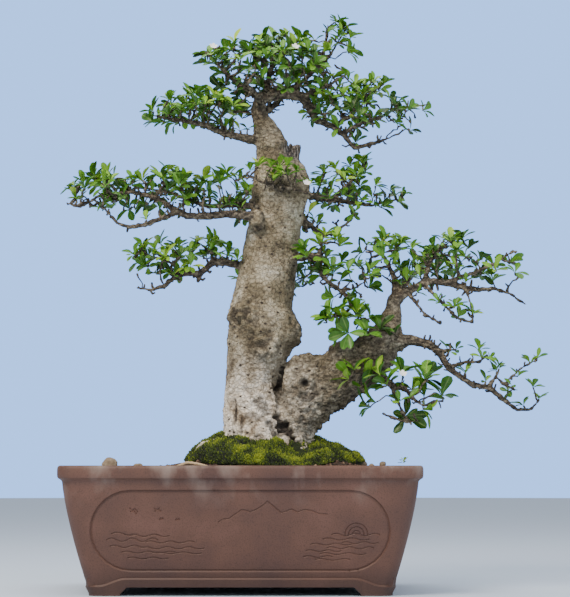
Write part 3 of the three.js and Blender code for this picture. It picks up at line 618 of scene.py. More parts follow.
def pot_body():
    foot_inset = wall_inset(0) - APRON_DEPTH
    start_height = 3
    size = (
        (POT_LENGTH - 2 * foot_inset) * MM,
        (POT_DEPTH - 2 * foot_inset) * MM,
        start_height * MM,
    )
    deselect()
    bpy.ops.mesh.primitive_cube_add(size=1, location=on_ground(0, 0, start_height / 2), scale=size)
    pot = bpy.context.object
    pot.name = "clay_pot"
    settle(pot)
    bpy.ops.object.mode_set(mode="EDIT")
    pick(pot, "edges", lambda at, edge: abs(edge.verts[0].co.z - edge.verts[1].co.z) > 1 * MM)
    bpy.ops.mesh.bevel(offset=CORNER_RADIUS * MM, segments=8, affect="EDGES")
    for from_corner in np.linspace(DIP_START, DIP_END, 8):
        for side in (-1, 1):
            bpy.ops.mesh.select_all(action="SELECT")
            cut = on_ground(side * (POT_LENGTH / 2 - foot_inset - from_corner), 0, 0)
            bpy.ops.mesh.bisect(plane_co=cut, plane_no=(1, 0, 0))
            bpy.ops.mesh.select_all(action="SELECT")
            cut = on_ground(0, side * (POT_DEPTH / 2 - foot_inset - from_corner), 0)
            bpy.ops.mesh.bisect(plane_co=cut, plane_no=(0, 1, 0))
    top = on_ground(0, 0, start_height).z
    pick(pot, "faces", lambda at, face: at.z > top - 0.1 * MM and abs(face.normal.z) > 0.9)
    apron = [(start_height, foot_inset), (APRON_HEIGHT - 1.5, wall_inset(APRON_HEIGHT) - APRON_DEPTH)]
    step = [(APRON_HEIGHT, wall_inset(APRON_HEIGHT) - 0.7), (APRON_HEIGHT + 1, wall_inset(APRON_HEIGHT))]
    rows = 14
    reach = UNDER_LIP - 4 - APRON_HEIGHT - 2
    wall = [APRON_HEIGHT + 2 + reach * i / rows for i in range(rows + 1)]
    wall = [(z, wall_inset(z)) for z in wall]
    cove = [(UNDER_LIP - 2, LIP_OVERHANG - 1), (UNDER_LIP - 0.5, LIP_OVERHANG - 3)]
    lip = [
        (UNDER_LIP + 0.8, LIP_OVERHANG - 5),
        (UNDER_LIP + 3, 0.2),
        (UNDER_LIP + 6, 0),
        (POT_HEIGHT - 5, 0),
        (POT_HEIGHT - 2, 0.6),
        (POT_HEIGHT - 0.6, 1.8),
        (POT_HEIGHT, LIP_ROUND + 0.5),
    ]
    inner_edge = wall_inset(UNDER_LIP) + POT_WALL
    inner = [
        (POT_HEIGHT, inner_edge - 2),
        (POT_HEIGHT - 0.6, inner_edge - 0.6),
        (POT_HEIGHT - 2.5, inner_edge),
    ]
    floor = FOOT_HEIGHT + POT_FLOOR
    drop = [UNDER_LIP - (UNDER_LIP - floor) * i / 6 for i in range(7)]
    hollow = [(z, wall_inset(z) + POT_WALL) for z in drop]
    raise_walls(apron + step + wall + cove + lip + inner + hollow)
    bpy.ops.object.mode_set(mode="OBJECT")
    lower_band(pot)
    return pot


def boolean(piece, cutter):
    """Cuts one solid out of another and removes the cutter."""
    finish_with(piece, "BOOLEAN", operation="DIFFERENCE", solver="EXACT", object=cutter)
    bpy.data.objects.remove(cutter)


def foot_arch(opening, reach, turned):
    """A bar with rounded upper edges that leaves a foot at each corner."""
    size = (opening * MM, reach * MM, 2 * FOOT_HEIGHT * MM)
    deselect()
    bpy.ops.mesh.primitive_cube_add(size=1, location=on_ground(0, 0, 0), scale=size)
    arch = bpy.context.object
    settle(arch)
    bpy.ops.object.mode_set(mode="EDIT")
    pick(arch, "edges", lambda at, edge: at.z > POT_LOW.z and abs(at.x - POT_MIDDLE.x) > 0.4 * size[0])
    bpy.ops.mesh.bevel(offset=0.8 * FOOT_HEIGHT * MM, segments=8, affect="EDGES", profile=0.25)
    bpy.ops.object.mode_set(mode="OBJECT")
    if turned:
        arch.data.transform(Matrix.Translation(-POT_MIDDLE))
        arch.data.transform(Matrix.Rotation(math.pi / 2, 4, "Z"))
        arch.data.transform(Matrix.Translation(POT_MIDDLE))
    return arch


def drain_hole(side):
    deselect()
    bpy.ops.mesh.primitive_cylinder_add(
        vertices=40,
        radius=DRAIN_RADIUS * MM,
        depth=4 * POT_FLOOR * MM,
        location=on_ground(side * DRAIN_SPACING / 2, 0, FOOT_HEIGHT + POT_FLOOR),
    )
    return bpy.context.object


def on_wall(along, z, sunk=0.0, end=False):
    """A point on the front wall, or on the right end wall, sunk below its surface."""
    if end:
        return on_ground(POT_LENGTH / 2 - wall_inset(z) - sunk, along, z)
    return on_ground(along, -POT_DEPTH / 2 + wall_inset(z) + sunk, z)


def stadium(half_length, low, high, steps=14):
    """The outline of a panel with round ends, as (along, z)."""
    radius = (high - low) / 2
    straight = half_length - radius
    middle = (low + high) / 2
    outline = []
    for side in (1, -1):
        for i in range(steps + 1):
            angle = -math.pi / 2 + math.pi * i / steps
            along = side * (straight + radius * math.cos(angle))
            outline.append((along, middle + side * radius * math.sin(angle)))
    return outline


def panel_half(end):
    wall_length = (POT_DEPTH if end else POT_LENGTH) - 2 * (wall_inset(0) - APRON_DEPTH)
    return wall_length / 2 - PANEL_MARGIN


def panel_cutter(end):
    """A round-ended block whose inner face follows the wall, sunk by the panel's depth."""
    outline = stadium(panel_half(end), PANEL_LOW, PANEL_HIGH)
    deselect()
    mesh = bpy.data.meshes.new("panel_cutter")
    mesh.from_pydata([on_wall(a, z, PANEL_DEPTH, end) for a, z in outline], [], [range(len(outline))])
    cutter = bpy.data.objects.new("panel_cutter", mesh)
    bpy.context.scene.collection.objects.link(cutter)
    activate(cutter)
    bpy.ops.object.mode_set(mode="EDIT")
    bpy.ops.mesh.select_all(action="SELECT")
    for z in np.linspace(PANEL_LOW, PANEL_HIGH, 16)[1:-1]:
        bpy.ops.mesh.select_all(action="SELECT")
        bpy.ops.mesh.bisect(plane_co=on_ground(0, 0, z), plane_no=(0, 0, 1))
    pick(cutter, "verts", lambda at, vert: True)
    sheet = bmesh.from_edit_mesh(cutter.data)
    for vert in sheet.verts:
        along = vert.co.y - POT_MIDDLE.y if end else vert.co.x - POT_MIDDLE.x
        vert.co = on_wall(along / MM, (vert.co.z - POT_LOW.z) / MM, PANEL_DEPTH, end)
    bmesh.update_edit_mesh(cutter.data)
    bpy.ops.mesh.select_all(action="SELECT")
    out = (0.04, 0, 0) if end else (0, -0.04, 0)
    bpy.ops.mesh.extrude_region_move(TRANSFORM_OT_translate={"value": out})
    bpy.ops.mesh.select_all(action="SELECT")
    bpy.ops.mesh.normals_make_consistent(inside=False)
    bpy.ops.object.mode_set(mode="OBJECT")
    return cutter


def mirrored_back(piece):
    """A copy turned half round the pot's middle."""
    other = bpy.data.objects.new(piece.name, piece.data.copy())
    bpy.context.scene.collection.objects.link(other)
    other.data.transform(Matrix.Translation(-POT_MIDDLE))
    other.data.transform(Matrix.Rotation(math.pi, 4, "Z"))
    other.data.transform(Matrix.Translation(POT_MIDDLE))
    return other


def groove(points, radius, sunk, end=False, closed=False):
    """A channel cutter that follows points (along, z) on a wall."""
    chain = [(on_wall(a, z, sunk, end), radius * MM) for a, z in points]
    if closed:
        chain.append(chain[0])
        chain.append(chain[1])
    return chain


def wavy(x0, x1, z, height, waves, steps=26):
    span = x1 - x0
    return [
        (x0 + span * i / steps, z + height * math.sin(2 * math.pi * waves * i / steps))
        for i in range(steps + 1)
    ]


def arc(x, z, radius, steps=12):
    return [
        (x + radius * math.cos(math.pi * i / steps), z + radius * math.sin(math.pi * i / steps))
        for i in range(steps + 1)
    ]


def bird(x, z, span):
    half = span / 2
    return [(x - span, z - 1.5), (x - half, z + 1), (x, z - 0.5), (x + half, z + 1.4), (x + span, z)]


def incised_scene():
    """Lines cut in the soft clay: hills, water, a sun on the water and birds."""
    hills = [
        (-30, 101), (-24, 105), (-15, 106), (-7, 112), (2, 118), (8, 117), (14, 115), (23, 119), (31, 124),
        (37, 130), (43, 125), (49, 120), (56, 114), (63, 116), (70, 119), (78, 115), (87, 118), (97, 117),
        (106, 113), (119, 112),
    ]
    left = [
        wavy(-176, -140, 85, 2.2, 1), wavy(-152, -96, 83, 1.6, 2), wavy(-182, -112, 77, 2.4, 2.5),
        wavy(-128, -62, 74, 1.4, 2.5), wavy(-178, -124, 68, 1.6, 2), wavy(-136, -48, 66, 1.5, 3),
        wavy(-162, -88, 60, 1.3, 2.5), wavy(-120, -52, 59, 1.2, 2), wavy(-154, -98, 52, 1.2, 2),
    ]
    right = [
        wavy(124, 190, 84, 1.8, 2.5), wavy(112, 176, 78, 1.4, 2), wavy(138, 188, 73, 1.3, 2),
        wavy(96, 152, 71, 1.2, 2), wavy(118, 182, 66, 1.4, 2.5), wavy(90, 138, 62, 1.2, 2),
        wavy(108, 172, 58, 1.3, 2), wavy(86, 126, 54, 1.1, 1.5), wavy(102, 150, 50, 1.1, 1.5),
    ]
    sun = [arc(158, 84, radius) for radius in (5.5, 10.5, 15.5)]
    birds = [
        [(-150, 121), (-146, 116), (-143, 120), (-139, 115)], [(-149, 115), (-145, 119), (-141, 112)],
        [(-117, 120), (-113, 118), (-109, 121)], [(-116, 116), (-112, 119), (-107, 116)],
        bird(-107, 106, 2.5), bird(-85, 105, 3),
    ]
    return [hills, *left, *right, *sun, *birds]


def build_pot(clay):
    pot = pot_body()
    inset = wall_inset(0) - APRON_DEPTH
    boolean(pot, foot_arch(POT_LENGTH - 2 * (inset + FOOT_LENGTH), POT_DEPTH, False))
    boolean(pot, foot_arch(POT_DEPTH - 2 * (inset + FOOT_DEPTH), POT_LENGTH, True))
    for side in (-1, 1):
        boolean(pot, drain_hole(side))
    for end in (False, True):
        cutter = panel_cutter(end)
        back = mirrored_back(cutter)
        boolean(pot, cutter)
        boolean(pot, back)
    for end in (False, True):
        outline = stadium(panel_half(end), PANEL_LOW, PANEL_HIGH)
        ring = tubes("panel_groove", [groove(outline, GROOVE_RADIUS, 0.4, end, closed=True)])
        finish_with(ring, "WELD", merge_threshold=0.0004)
        back = mirrored_back(ring)
        boolean(pot, ring)
        boolean(pot, back)
    for line in incised_scene():
        boolean(pot, tubes("incised_line", [groove(line, LINE_RADIUS, PANEL_DEPTH - 0.2)]))
    shade_smooth(pot, angle=30)
    return present(pot, clay, ["pot"])


# ---- Wood ---------------------------------------------------------------------------------------

WOOD_VOXEL = 2.2

# Spots on the wood that differ from the rest: x and z from the rim, and the reach along each.
BURL = (2, 215, 27, 24)
GALL = (36, 170, 20, 22)
DEAD_STUB = (74, 458, 16, 16)
WART_SIZE = 12
ROOT_TIP_DROP = 16

# Hollows and knots on the front of the wood: x and z from the rim, radius and depth.
KNOTS = [
    (89, 117, 9, 9),
    (53, 397, 12, 6),
    (19, 338, 9, 3),
    (44, 211, 4, 1.6),
    (32, 171, 11, 3),
    (9, 232, 6, 2),
    (158, 182, 9, 3),
    (196, 176, 7, 3),
    (36, 60, 6, 2),
]

# Cracked, rotten and stained strips on the front: both ends, half the width, depth and darkness.
ROT = [
    ((48, 70), (60, 53), 6, 6, 0.95),
    ((60, 53), (70, 38), 9, 8, 1.0),
    ((70, 38), (82, 16), 7, 4, 0.95),
    ((57, 140), (51, 110), 3, 2.5, 0.95),
    ((51, 110), (49, 66), 3, 2, 0.6),
    ((50, 108), (64, 84), 8, 3, 0.55),
    ((-12, 94), (-11, 62), 2.4, 3, 0.9),
    ((-2, 68), (0, 46), 2.2, 2, 0.8),
    ((24, 92), (34, 78), 9, 1.5, 0.75),
    ((8, 72), (26, 66), 6, 1.2, 0.7),
    ((40, 58), (50, 42), 6, 2, 0.8),
    ((22, 40), (34, 34), 4, 1.2, 0.65),
    ((2, 112), (12, 106), 4, 1, 0.5),
    ((104, 100), (90, 94), 8, 2, 0.75),
    ((66, 144), (100, 152), 4, 2, 0.6),
    ((75, 130), (84, 140), 4, 2, 0.65),
    ((112, 128), (128, 118), 4, 2, 0.6),
    ((84, 70), (94, 52), 4, 2, 0.6),
]


def limb_thickness(piece, points, directions):
    """How thick the wood is straight through from each vertex, in millimetres."""
    inside = BVHTree.FromObject(piece, bpy.context.evaluated_depsgraph_get())
    through = np.empty(len(points), np.float32)
    for i, (point, direction) in enumerate(zip(points, directions)):
        inward = Vector(direction) * -1
        hit = inside.ray_cast(Vector(point) + inward * 0.0004, inward)
        through[i] = hit[3] / MM if hit[3] is not None else 2
    return through


def ridges(value):
    """Turns smooth noise into narrow ridges, from -1 to 0."""
    return -((1 - np.abs(value)) ** 4)


def wart_bumps(points, size):
    """Round warts packed together, 0 in the seams between them and 1 on top."""
    cells = (points / (size * MM)).tolist()
    return np.array([1 - min(noise.voronoi(Vector(p))[0][0] * 1.5, 1) for p in cells], np.float32)


def near_spot(x, z, spot):
    """1 at the middle of a spot, falling smoothly to 0 round it."""
    middle_x, middle_z, reach_x, reach_z = spot
    return np.exp(-(((x - middle_x) / reach_x) ** 2) - (((z - middle_z) / reach_z) ** 2))


def build_wood(material):
    """The wood with its burls, knots and rot. Returns its skin's points, thickness and normals."""
    wood, points, out = fine_skin("bark_and_wood", "trunk_and_branches", WOOD_VOXEL, 0.6, 5)
    thick = limb_thickness(wood, points, out)
    young = 1 - smoothstep(11, 40, thick)
    x = (points[:, 0] - POT_MIDDLE.x) / MM
    z = (points[:, 2] - RIM) / MM
    old = 1 - young

    swell = noise_at(points, 46) * 3.4 + noise_at(points, 21, 7.3) * 1.8
    gnarl = np.abs(noise_at(points, 13, 3.1)) * 3.4 + np.abs(noise_at(points, 7, 1.7)) * 2.2
    low_trunk = smoothstep(56, 80, x) * (1 - smoothstep(190, 235, z))
    burl = near_spot(x, z, BURL)
    gall = near_spot(x, z, GALL)
    foot = np.exp(-(((z - 30) / 50) ** 2))
    rough = 0.3 + np.clip(burl + gall + 0.8 * foot + 0.9 * low_trunk, 0, 1.3)
    warty = np.clip(1.3 * burl + 1.1 * gall + 0.4 * low_trunk + 0.2 * foot, 0, 1)
    bumps = wart_bumps(points, WART_SIZE)
    wart = bumps * 7.5 * warty
    seam = -ridges(noise_at(points, 11, 6.6, (1, 1, 0.4)))
    wrinkle = -1.3 * seam * (0.5 + rough + 0.3 * low_trunk)
    knobs = np.abs(noise_at(points, 9, 5.5)) * 2.8 - 0.5
    moved = old * (swell + gnarl * rough + wart + wrinkle) + young * knobs

    dead = near_spot(x, z, DEAD_STUB)
    splinter = ridges(noise_at(points, 4, 2.2, (1, 1, 9))) * 4
    moved += dead * splinter
    torn = dead * smoothstep(0.3, 0.8, out[:, 2]) * noise_at(points, 5, 8.2, (1, 1, 20)) * 9

    hollow = np.zeros(len(points), np.float32)
    for knot_x, knot_z, radius, depth in KNOTS:
        away = np.hypot(x - knot_x, z - knot_z) / radius
        front = smoothstep(0.1, 0.5, -out[:, 1])
        bowl = np.exp(-((away / 0.62) ** 4)) * front
        ring = np.exp(-(((away - 1.05) / 0.3) ** 2)) * front
        moved += ring * depth * 0.35 - bowl * depth
        hollow = np.maximum(hollow, bowl * (0.55 + 0.05 * depth))
    for (x0, z0), (x1, z1), half, depth, darkness in ROT:
        length = (x1 - x0) ** 2 + (z1 - z0) ** 2
        share = np.clip(((x - x0) * (x1 - x0) + (z - z0) * (z1 - z0)) / length, 0, 1)
        away = np.hypot(x - x0 - share * (x1 - x0), z - z0 - share * (z1 - z0))
        ragged = half * (1 + 0.9 * noise_at(points, 6, 2.6))
        rotten = (1 - smoothstep(0.5, 1.15, away / ragged)) * smoothstep(-0.1, 0.3, -out[:, 1])
        moved -= rotten * depth
        flecks = 1 - 0.5 * (1 - darkness) * (1 + noise_at(points, 3, 6.1))
        hollow = np.maximum(hollow, darkness * rotten * flecks)
    # Painted shade: the seams between the warts are darkened.
    hollow = np.maximum(hollow, 0.75 * warty * old * smoothstep(0.42, 0.05, bumps))
    crease = smoothstep(-0.15, -0.5, noise_at(points, 12, 4.4)) * smoothstep(70, 10, z) * (thick > 25)
    hollow = np.maximum(hollow, 0.6 * crease)
    # Painted shade: the low trunk's wrinkles are darkened.
    hollow = np.maximum(hollow, 0.6 * old * low_trunk * smoothstep(0.55, 0.95, seam))
    moved -= crease * 1.4

    lifted = points + out * (moved * MM)[:, None]
    root_tip = smoothstep(-54, -84, x) * (z < 50)
    lifted[:, 2] += (torn - ROOT_TIP_DROP * root_tip) * MM
    move_to(wood, lifted)
    # Painted shade: the low trunk's right side is darkened towards the young wood's brown; the top of the
    # trunk's neck is darkened as young wood.
    shaded = 0.42 * smoothstep(100, 150, x) + 0.05 * low_trunk + 0.4 * smoothstep(436, 478, z)
    surface_root = smoothstep(50, 38, z) * smoothstep(-12, -24, x)
    young_and_shaded = np.maximum(np.clip(young * 1.15, 0, 1), shaded) * (1 - 0.8 * surface_root)
    paint(wood, "young", np.clip(young_and_shaded + 0.16 * noise_at(points, 18, 6), 0, 1))
    paint(wood, "dead", np.clip(dead * 1.4, 0, 1))
    main_side = 1 - smoothstep(52, 72, x + 0.3 * (z - 60))
    bleached = np.maximum(main_side, np.maximum(0.7 * smoothstep(70, 30, z), 0.4 * smoothstep(120, 90, x)))
    paint(wood, "pale", np.maximum(old, surface_root) * smoothstep(190, 70, z) * bleached)
    paint(wood, "hollow", np.clip(hollow, 0, 0.95))
    shade_smooth(wood)
    present(wood, material, ["trunk_and_branches"])
    return points, thick, out


# ---- Leaves, twigs and flowers ------------------------------------------------------------------

LEAF_ROWS = 5
LEAF_WIDTHS = [0.05, 0.18, 0.34, 0.46, 0.47, 0.23]
TWIG_STEP = 6
SEED_WOOD = 26
TWIG_REACH = 70
TIP_RADIUS = 1.05
THICKEST_TWIG = 3.8
MOST_STEPS = 60
MOST_SEEDS = 70
MOST_MISSES = 400
BARE_RADIUS = 2.4
SPURS = 420
SPUR_SPACING = 7
SPUR_WOOD = 13


def leaf_template():
    """One leaf, 1 long: narrow at its stalk, widest past its middle, folded along the midrib."""
    deselect()
    bpy.ops.mesh.primitive_grid_add(
        x_subdivisions=2, y_subdivisions=LEAF_ROWS, size=1, location=(0, 0.5, 0), calc_uvs=True
    )
    leaf = bpy.context.object
    leaf.name = "leaf_template"
    settle(leaf)
    bpy.ops.object.mode_set(mode="EDIT")
    for row, width in enumerate(LEAF_WIDTHS):
        along = row / LEAF_ROWS
        pick(leaf, "verts", lambda at, vert: abs(at.y - along) < 0.02)
        bpy.ops.transform.resize(value=(width, 1, 1), center_override=(0, along, 0))
        droop = 0.1 * math.sin(math.pi * along) - 0.12 * along**2
        bpy.ops.transform.translate(value=(0, 0, droop))
        pick(leaf, "verts", lambda at, vert: abs(at.y - along) < 0.02 and abs(at.x) < 0.01)
        bpy.ops.transform.translate(value=(0, 0.04 if row == LEAF_ROWS else 0, -0.22 * width))
    bpy.ops.object.mode_set(mode="OBJECT")
    return leaf


def flower_template():
    """Five round petals in a shallow cup, 1 in radius."""
    deselect()
    bpy.ops.mesh.primitive_grid_add(x_subdivisions=2, y_subdivisions=3, size=1, location=(0, 0.5, 0))
    petals = bpy.context.object
    petals.name = "flower_template"
    settle(petals)
    bpy.ops.object.mode_set(mode="EDIT")
    for row, width in enumerate([0.14, 0.62, 0.86, 0.42]):
        along = row / 3
        pick(petals, "verts", lambda at, vert: abs(at.y - along) < 0.02)
        bpy.ops.transform.resize(value=(width, 1, 1), center_override=(0, along, 0))
        bpy.ops.transform.translate(value=(0, 0, 0.35 * along**1.5))
    bpy.ops.mesh.select_all(action="SELECT")
    for _ in range(4):
        bpy.ops.mesh.duplicate_move()
        turn = -2 * math.pi / 5
        bpy.ops.transform.rotate(value=turn, orient_axis="Z", center_override=(0, 0, 0))
    bpy.ops.object.mode_set(mode="OBJECT")
    return petals


def inside_solid(solid, point, margin):
    """Whether a point lies inside a closed solid, at least a margin below its surface."""
    near, normal, _, distance = solid.find_nearest(point)
    above = solid.ray_cast(point, UP)
    roofed = above[0] is not None and above[1].dot(UP) > 0
    return roofed and distance > margin and (point - near).dot(normal) < 0


def pad_targets(node, spacing, margin):
    """Places spread evenly through a pad's solid."""
    solid = BVHTree.FromObject(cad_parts[node], bpy.context.evaluated_depsgraph_get())
    low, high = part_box(node)
    chosen = []
    misses = 0
    while misses < MOST_MISSES:
        point = Vector(RANDOM.uniform(low, high))
        clear = all((point - other).length > spacing * MM for other in chosen)
        if clear and inside_solid(solid, point, margin * MM):
            chosen.append(point)
            misses = 0
        else:
            misses += 1
    return chosen


def grow(seeds, targets):
    """Twigs grow from the seeds towards the targets, a step at a time."""
    nodes = np.array(seeds, float)
    parents = [-1] * len(nodes)
    left = np.array(targets, float)
    step = TWIG_STEP * MM
    for _ in range(MOST_STEPS):
        if not len(left):
            break
        gaps = np.linalg.norm(left[:, None] - nodes[None], axis=2)
        nearest = gaps.argmin(1)
        distance = gaps.min(1)
        pulled = {}
        for target, node, gap in zip(left, nearest, distance):
            if gap < TWIG_REACH * MM or not pulled:
                pulled.setdefault(node, []).append((target - nodes[node]) / max(gap, 1e-6))
        fresh = []
        for node, pulls in pulled.items():
            direction = np.mean(pulls, axis=0)
            if np.linalg.norm(direction) < 0.35:
                direction = pulls[0]
            direction = direction + RANDOM.normal(0, 0.24, 3)
            direction /= max(np.linalg.norm(direction), 1e-6)
            fresh.append(nodes[node] + direction * step)
            parents.append(int(node))
        nodes = np.vstack([nodes, fresh])
        reached = np.linalg.norm(left[:, None] - nodes[None], axis=2).min(1) < 1.3 * step
        left = left[~reached]
    return nodes, parents, len(seeds)


def twig_chains(nodes, parents, seeds):
    """Splits the growth into chains with radii that add up from the tips down."""
    count = len(nodes)
    children = [[] for _ in range(count)]
    for node in range(seeds, count):
        children[parents[node]].append(node)
    area = np.zeros(count)
    for node in range(count - 1, seeds - 1, -1):
        area[node] = max(sum(area[c] for c in children[node]), TIP_RADIUS**2.3)
    radius = np.minimum(area ** (1 / 2.3), THICKEST_TWIG)
    chains = []
    tips = [n for n in range(seeds, count) if not children[n]]
    used = set()
    for tip in sorted(tips, key=lambda n: -n):
        chain = [tip]
        while parents[chain[-1]] >= 0 and chain[-1] not in used:
            used.add(chain[-1])
            chain.append(parents[chain[-1]])
        if len(chain) > 1:
            chains.append(chain)
    return chains, radius, children


def rosette(place, shoot, count, size):
    """Leaves spread round the end of a shoot."""
    frames = []
    side = shoot.orthogonal().normalized()
    first = RANDOM.uniform(0, 2 * math.pi)
    for i in range(count):
        turn = first + 2.4 * i + RANDOM.normal(0, 0.25)
        tilt = math.radians(RANDOM.uniform(28, 82))
        radial = Matrix.Rotation(turn, 3, shoot) @ side
        along = shoot * math.cos(tilt) + radial * math.sin(tilt)
        along = (along + UP * 0.12).normalized()
        normal = (shoot * math.sin(tilt) - radial * math.cos(tilt) + UP * 0.5).normalized()
        length = size * RANDOM.uniform(0.62, 1.12) * MM
        start_at = place + along * 0.0012
        frames.append(facing(start_at, along, normal, length, RANDOM.uniform(0.8, 1.15)))
    return frames


def leafy(pad, wood_points, wood_thick, leaf, leaf_material, twig_material, spacing, size, bare_share):
    """The twigs and the leaves of one pad, without leaves in its lowest share."""
    node = "foliage_" + pad
    low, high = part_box(node)
    middle = (low + high) / 2
    targets = pad_targets(node, spacing, 2)
    reach = 0.012
    near = np.all((wood_points > np.array(low) - reach) & (wood_points < np.array(high) + reach), axis=1)
    near &= wood_thick < SEED_WOOD
    choices = wood_points[near]
    if len(choices) < 4:
        away = np.linalg.norm(wood_points - np.array(middle), axis=1)
        choices = wood_points[np.argsort(away)[:40]]
    seeds = RANDOM.choice(choices, size=min(MOST_SEEDS, len(choices)), replace=False)
    nodes, parents, count = grow(seeds, targets)
    chains, radius, children = twig_chains(nodes, parents, count)
    paths = []
    for chain in chains:
        knob = RANDOM.choice([0.8, 0.95, 1.1, 1.6], len(chain))
        paths.append([(nodes[n], max(radius[n], TIP_RADIUS) * knob[i] * MM) for i, n in enumerate(chain)])
    twigs = tubes("twigs_" + pad, paths)
    paint(twigs, "young", np.ones(len(twigs.data.vertices)))
    shade_smooth(twigs)
    present(twigs, twig_material)

    frames = []
    tones = []
    span = max((high.z - low.z), 0.02)
    for n in range(count, len(nodes)):
        tip = not children[n]
        lit = (nodes[n][2] - low.z) / span
        bare = RANDOM.random() > (0.25 + 0.9 * lit if tip else 0.26 * lit)
        if bare or radius[n] > BARE_RADIUS or lit < bare_share:
            continue
        back = parents[n]
        shoot = Vector(nodes[n] - nodes[back]).normalized()
        outward = (Vector(nodes[n]) - middle).normalized()
        shoot = (shoot * 0.6 + outward * 0.5 + UP * 0.75).normalized()
        leaves = RANDOM.integers(4, 8) if tip else RANDOM.integers(1, 4)
        fresh = rosette(Vector(nodes[n]), shoot, leaves, size)
        # Painted light and shade: leaves higher in the pad get a lighter tone, lower ones a darker tone.
        tone = np.clip(0.24 + 0.4 * lit + RANDOM.normal(0, 0.15), 0.04, 0.96)
        frames += fresh
        tones += list(np.clip(tone + RANDOM.normal(0, 0.1, len(fresh)), 0.02, 0.98))
    leaves = scatter("leaves_" + pad, leaf, frames, tones)
    present(leaves, leaf_material, [node])
    return len(frames)


# Each pad's twig spacing and leaf length in millimetres, and the share at its foot without leaves.
PADS = {
    "apex_top": (15.5, 21, 0.1),
    "apex_left": (15, 21, 0.1),
    "apex_right": (15.5, 20, 0.05),
    "left_upper": (15.5, 21, 0.2),
    "left_lower": (16.5, 20, 0.2),
    "front": (15, 18, 0.45),
    "right_upper": (16.5, 19, 0.1),
    "right_inner": (19, 21, 0.1),
    "elbow": (18, 26, 0),
    "crown_left": (20, 21, 0.15),
    "crown_right": (20.5, 21, 0.15),
    "crown_back": (19, 21, 0.15),
    "crown_hanging": (20, 16, 0),
    "cascade_upper": (20, 18, 0),
    "cascade_tip": (25, 18, 0),
    "low": (20, 30, 0),
    "back_lower": (18, 22, 0.1),
    "back_upper": (18, 22, 0.1),
}


def build_spurs(wood_points, wood_thick, wood_out, leaf, leaf_material, twig_material):
    """Short stubs all along the thin branches, some with a few leaves."""
    thin = np.flatnonzero((wood_thick < SPUR_WOOD) & (wood_points[:, 2] > RIM + 40 * MM))
    chosen = []
    for i in RANDOM.permutation(thin):
        place = Vector(wood_points[i])
        if all((place - other).length > SPUR_SPACING * MM for other, _ in chosen):
            chosen.append((place, Vector(wood_out[i])))
        if len(chosen) == SPURS:
            break
    paths = []
    frames = []
    for place, out in chosen:
        way = (out + UP * 0.5 + Vector(RANDOM.normal(0, 0.3, 3))).normalized()
        length = RANDOM.uniform(4, 11) * MM
        bend = place + way * length * 0.5 + Vector(RANDOM.normal(0, 0.8, 3)) * MM
        tip = place + (way + UP * 0.3).normalized() * length
        thick = RANDOM.uniform(1.0, 1.9) * MM
        paths.append([(place - out * 2 * MM, thick), (bend, thick * 1.15), (tip, thick * 0.8)])
        if RANDOM.random() < 0.45 and out.z > -0.15:
            shoot = (way + UP * 0.4).normalized()
            frames += rosette(tip, shoot, RANDOM.integers(2, 6), RANDOM.uniform(14, 20))
    spurs = tubes("branch_spurs", paths)
    paint(spurs, "young", np.ones(len(spurs.data.vertices)))
    shade_smooth(spurs)
    present(spurs, twig_material)
    tones = np.clip(RANDOM.normal(0.5, 0.2, len(frames)), 0.05, 0.95)
    leaves = scatter("spur_leaves", leaf, frames, tones)
    present(leaves, leaf_material)


def build_flowers(template, material):
    for node in sorted(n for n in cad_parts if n.startswith("flower_")):
        low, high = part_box(node)
        middle = (low + high) / 2
        radius = (high.x - low.x) / 2
        direction = Vector((0.2, -0.75, 0.6)).normalized()
        side = direction.orthogonal().normalized()
        frame_one = facing(middle, side, direction, radius * 1.1)
        piece = scatter("open_" + node, template, [frame_one], [1.0])
        present(piece, material, [node])


# ---- Moss, soil and what lies on them -----------------------------------------------------------


def tuft_template():
    """A pointed tuft of moss with four sides, 1 tall."""
    deselect()
    bpy.ops.mesh.primitive_cone_add(vertices=4, radius1=0.42, radius2=0.1, depth=1, location=(0, 0, 0.5))
    tuft = bpy.context.object
    tuft.name = "tuft_template"
    settle(tuft)
    finish_with(tuft, "TRIANGULATE")
    return tuft


def surface_places(piece, count, steepest, avoid=None):
    """Places and normals spread over the faces whose normal rises by at least steepest."""
    mesh = piece.data
    mesh.calc_loop_triangles()
    points = coordinates(piece)
    corners = np.array([t.vertices[:] for t in mesh.loop_triangles])
    a, b, c = (points[corners[:, i]] for i in range(3))
    cross = np.cross(b - a, c - a)
    area = np.linalg.norm(cross, axis=1)
    facing_up = cross[:, 2] > steepest * area
    weight = np.where(facing_up, area, 0)
    picked = RANDOM.choice(len(corners), size=count, p=weight / weight.sum())
    u, v = RANDOM.random(count), RANDOM.random(count)
    flip = u + v > 1
    u[flip], v[flip] = 1 - u[flip], 1 - v[flip]
    places = a[picked] + (b - a)[picked] * u[:, None] + (c - a)[picked] * v[:, None]
    up = cross[picked] / area[picked][:, None]
    if avoid is not None:
        open_sky = [avoid.ray_cast(Vector(p) + UP * 0.0002, UP, 0.08)[0] is None for p in places]
        places, up = places[open_sky], up[open_sky]
    return places, up


MOSS_VOXEL = 2.4
DRY_ROOT_VOXEL = 0.7
MOSS_LUMP = 23
MOSS_TUFTS = 3200
# The moss swells left of the trunk and sinks before the low trunk, by these shares of its height.
MOSS_SWELL = 0.36
MOSS_DIP = 0.42
SOIL_GRAINS = 8000


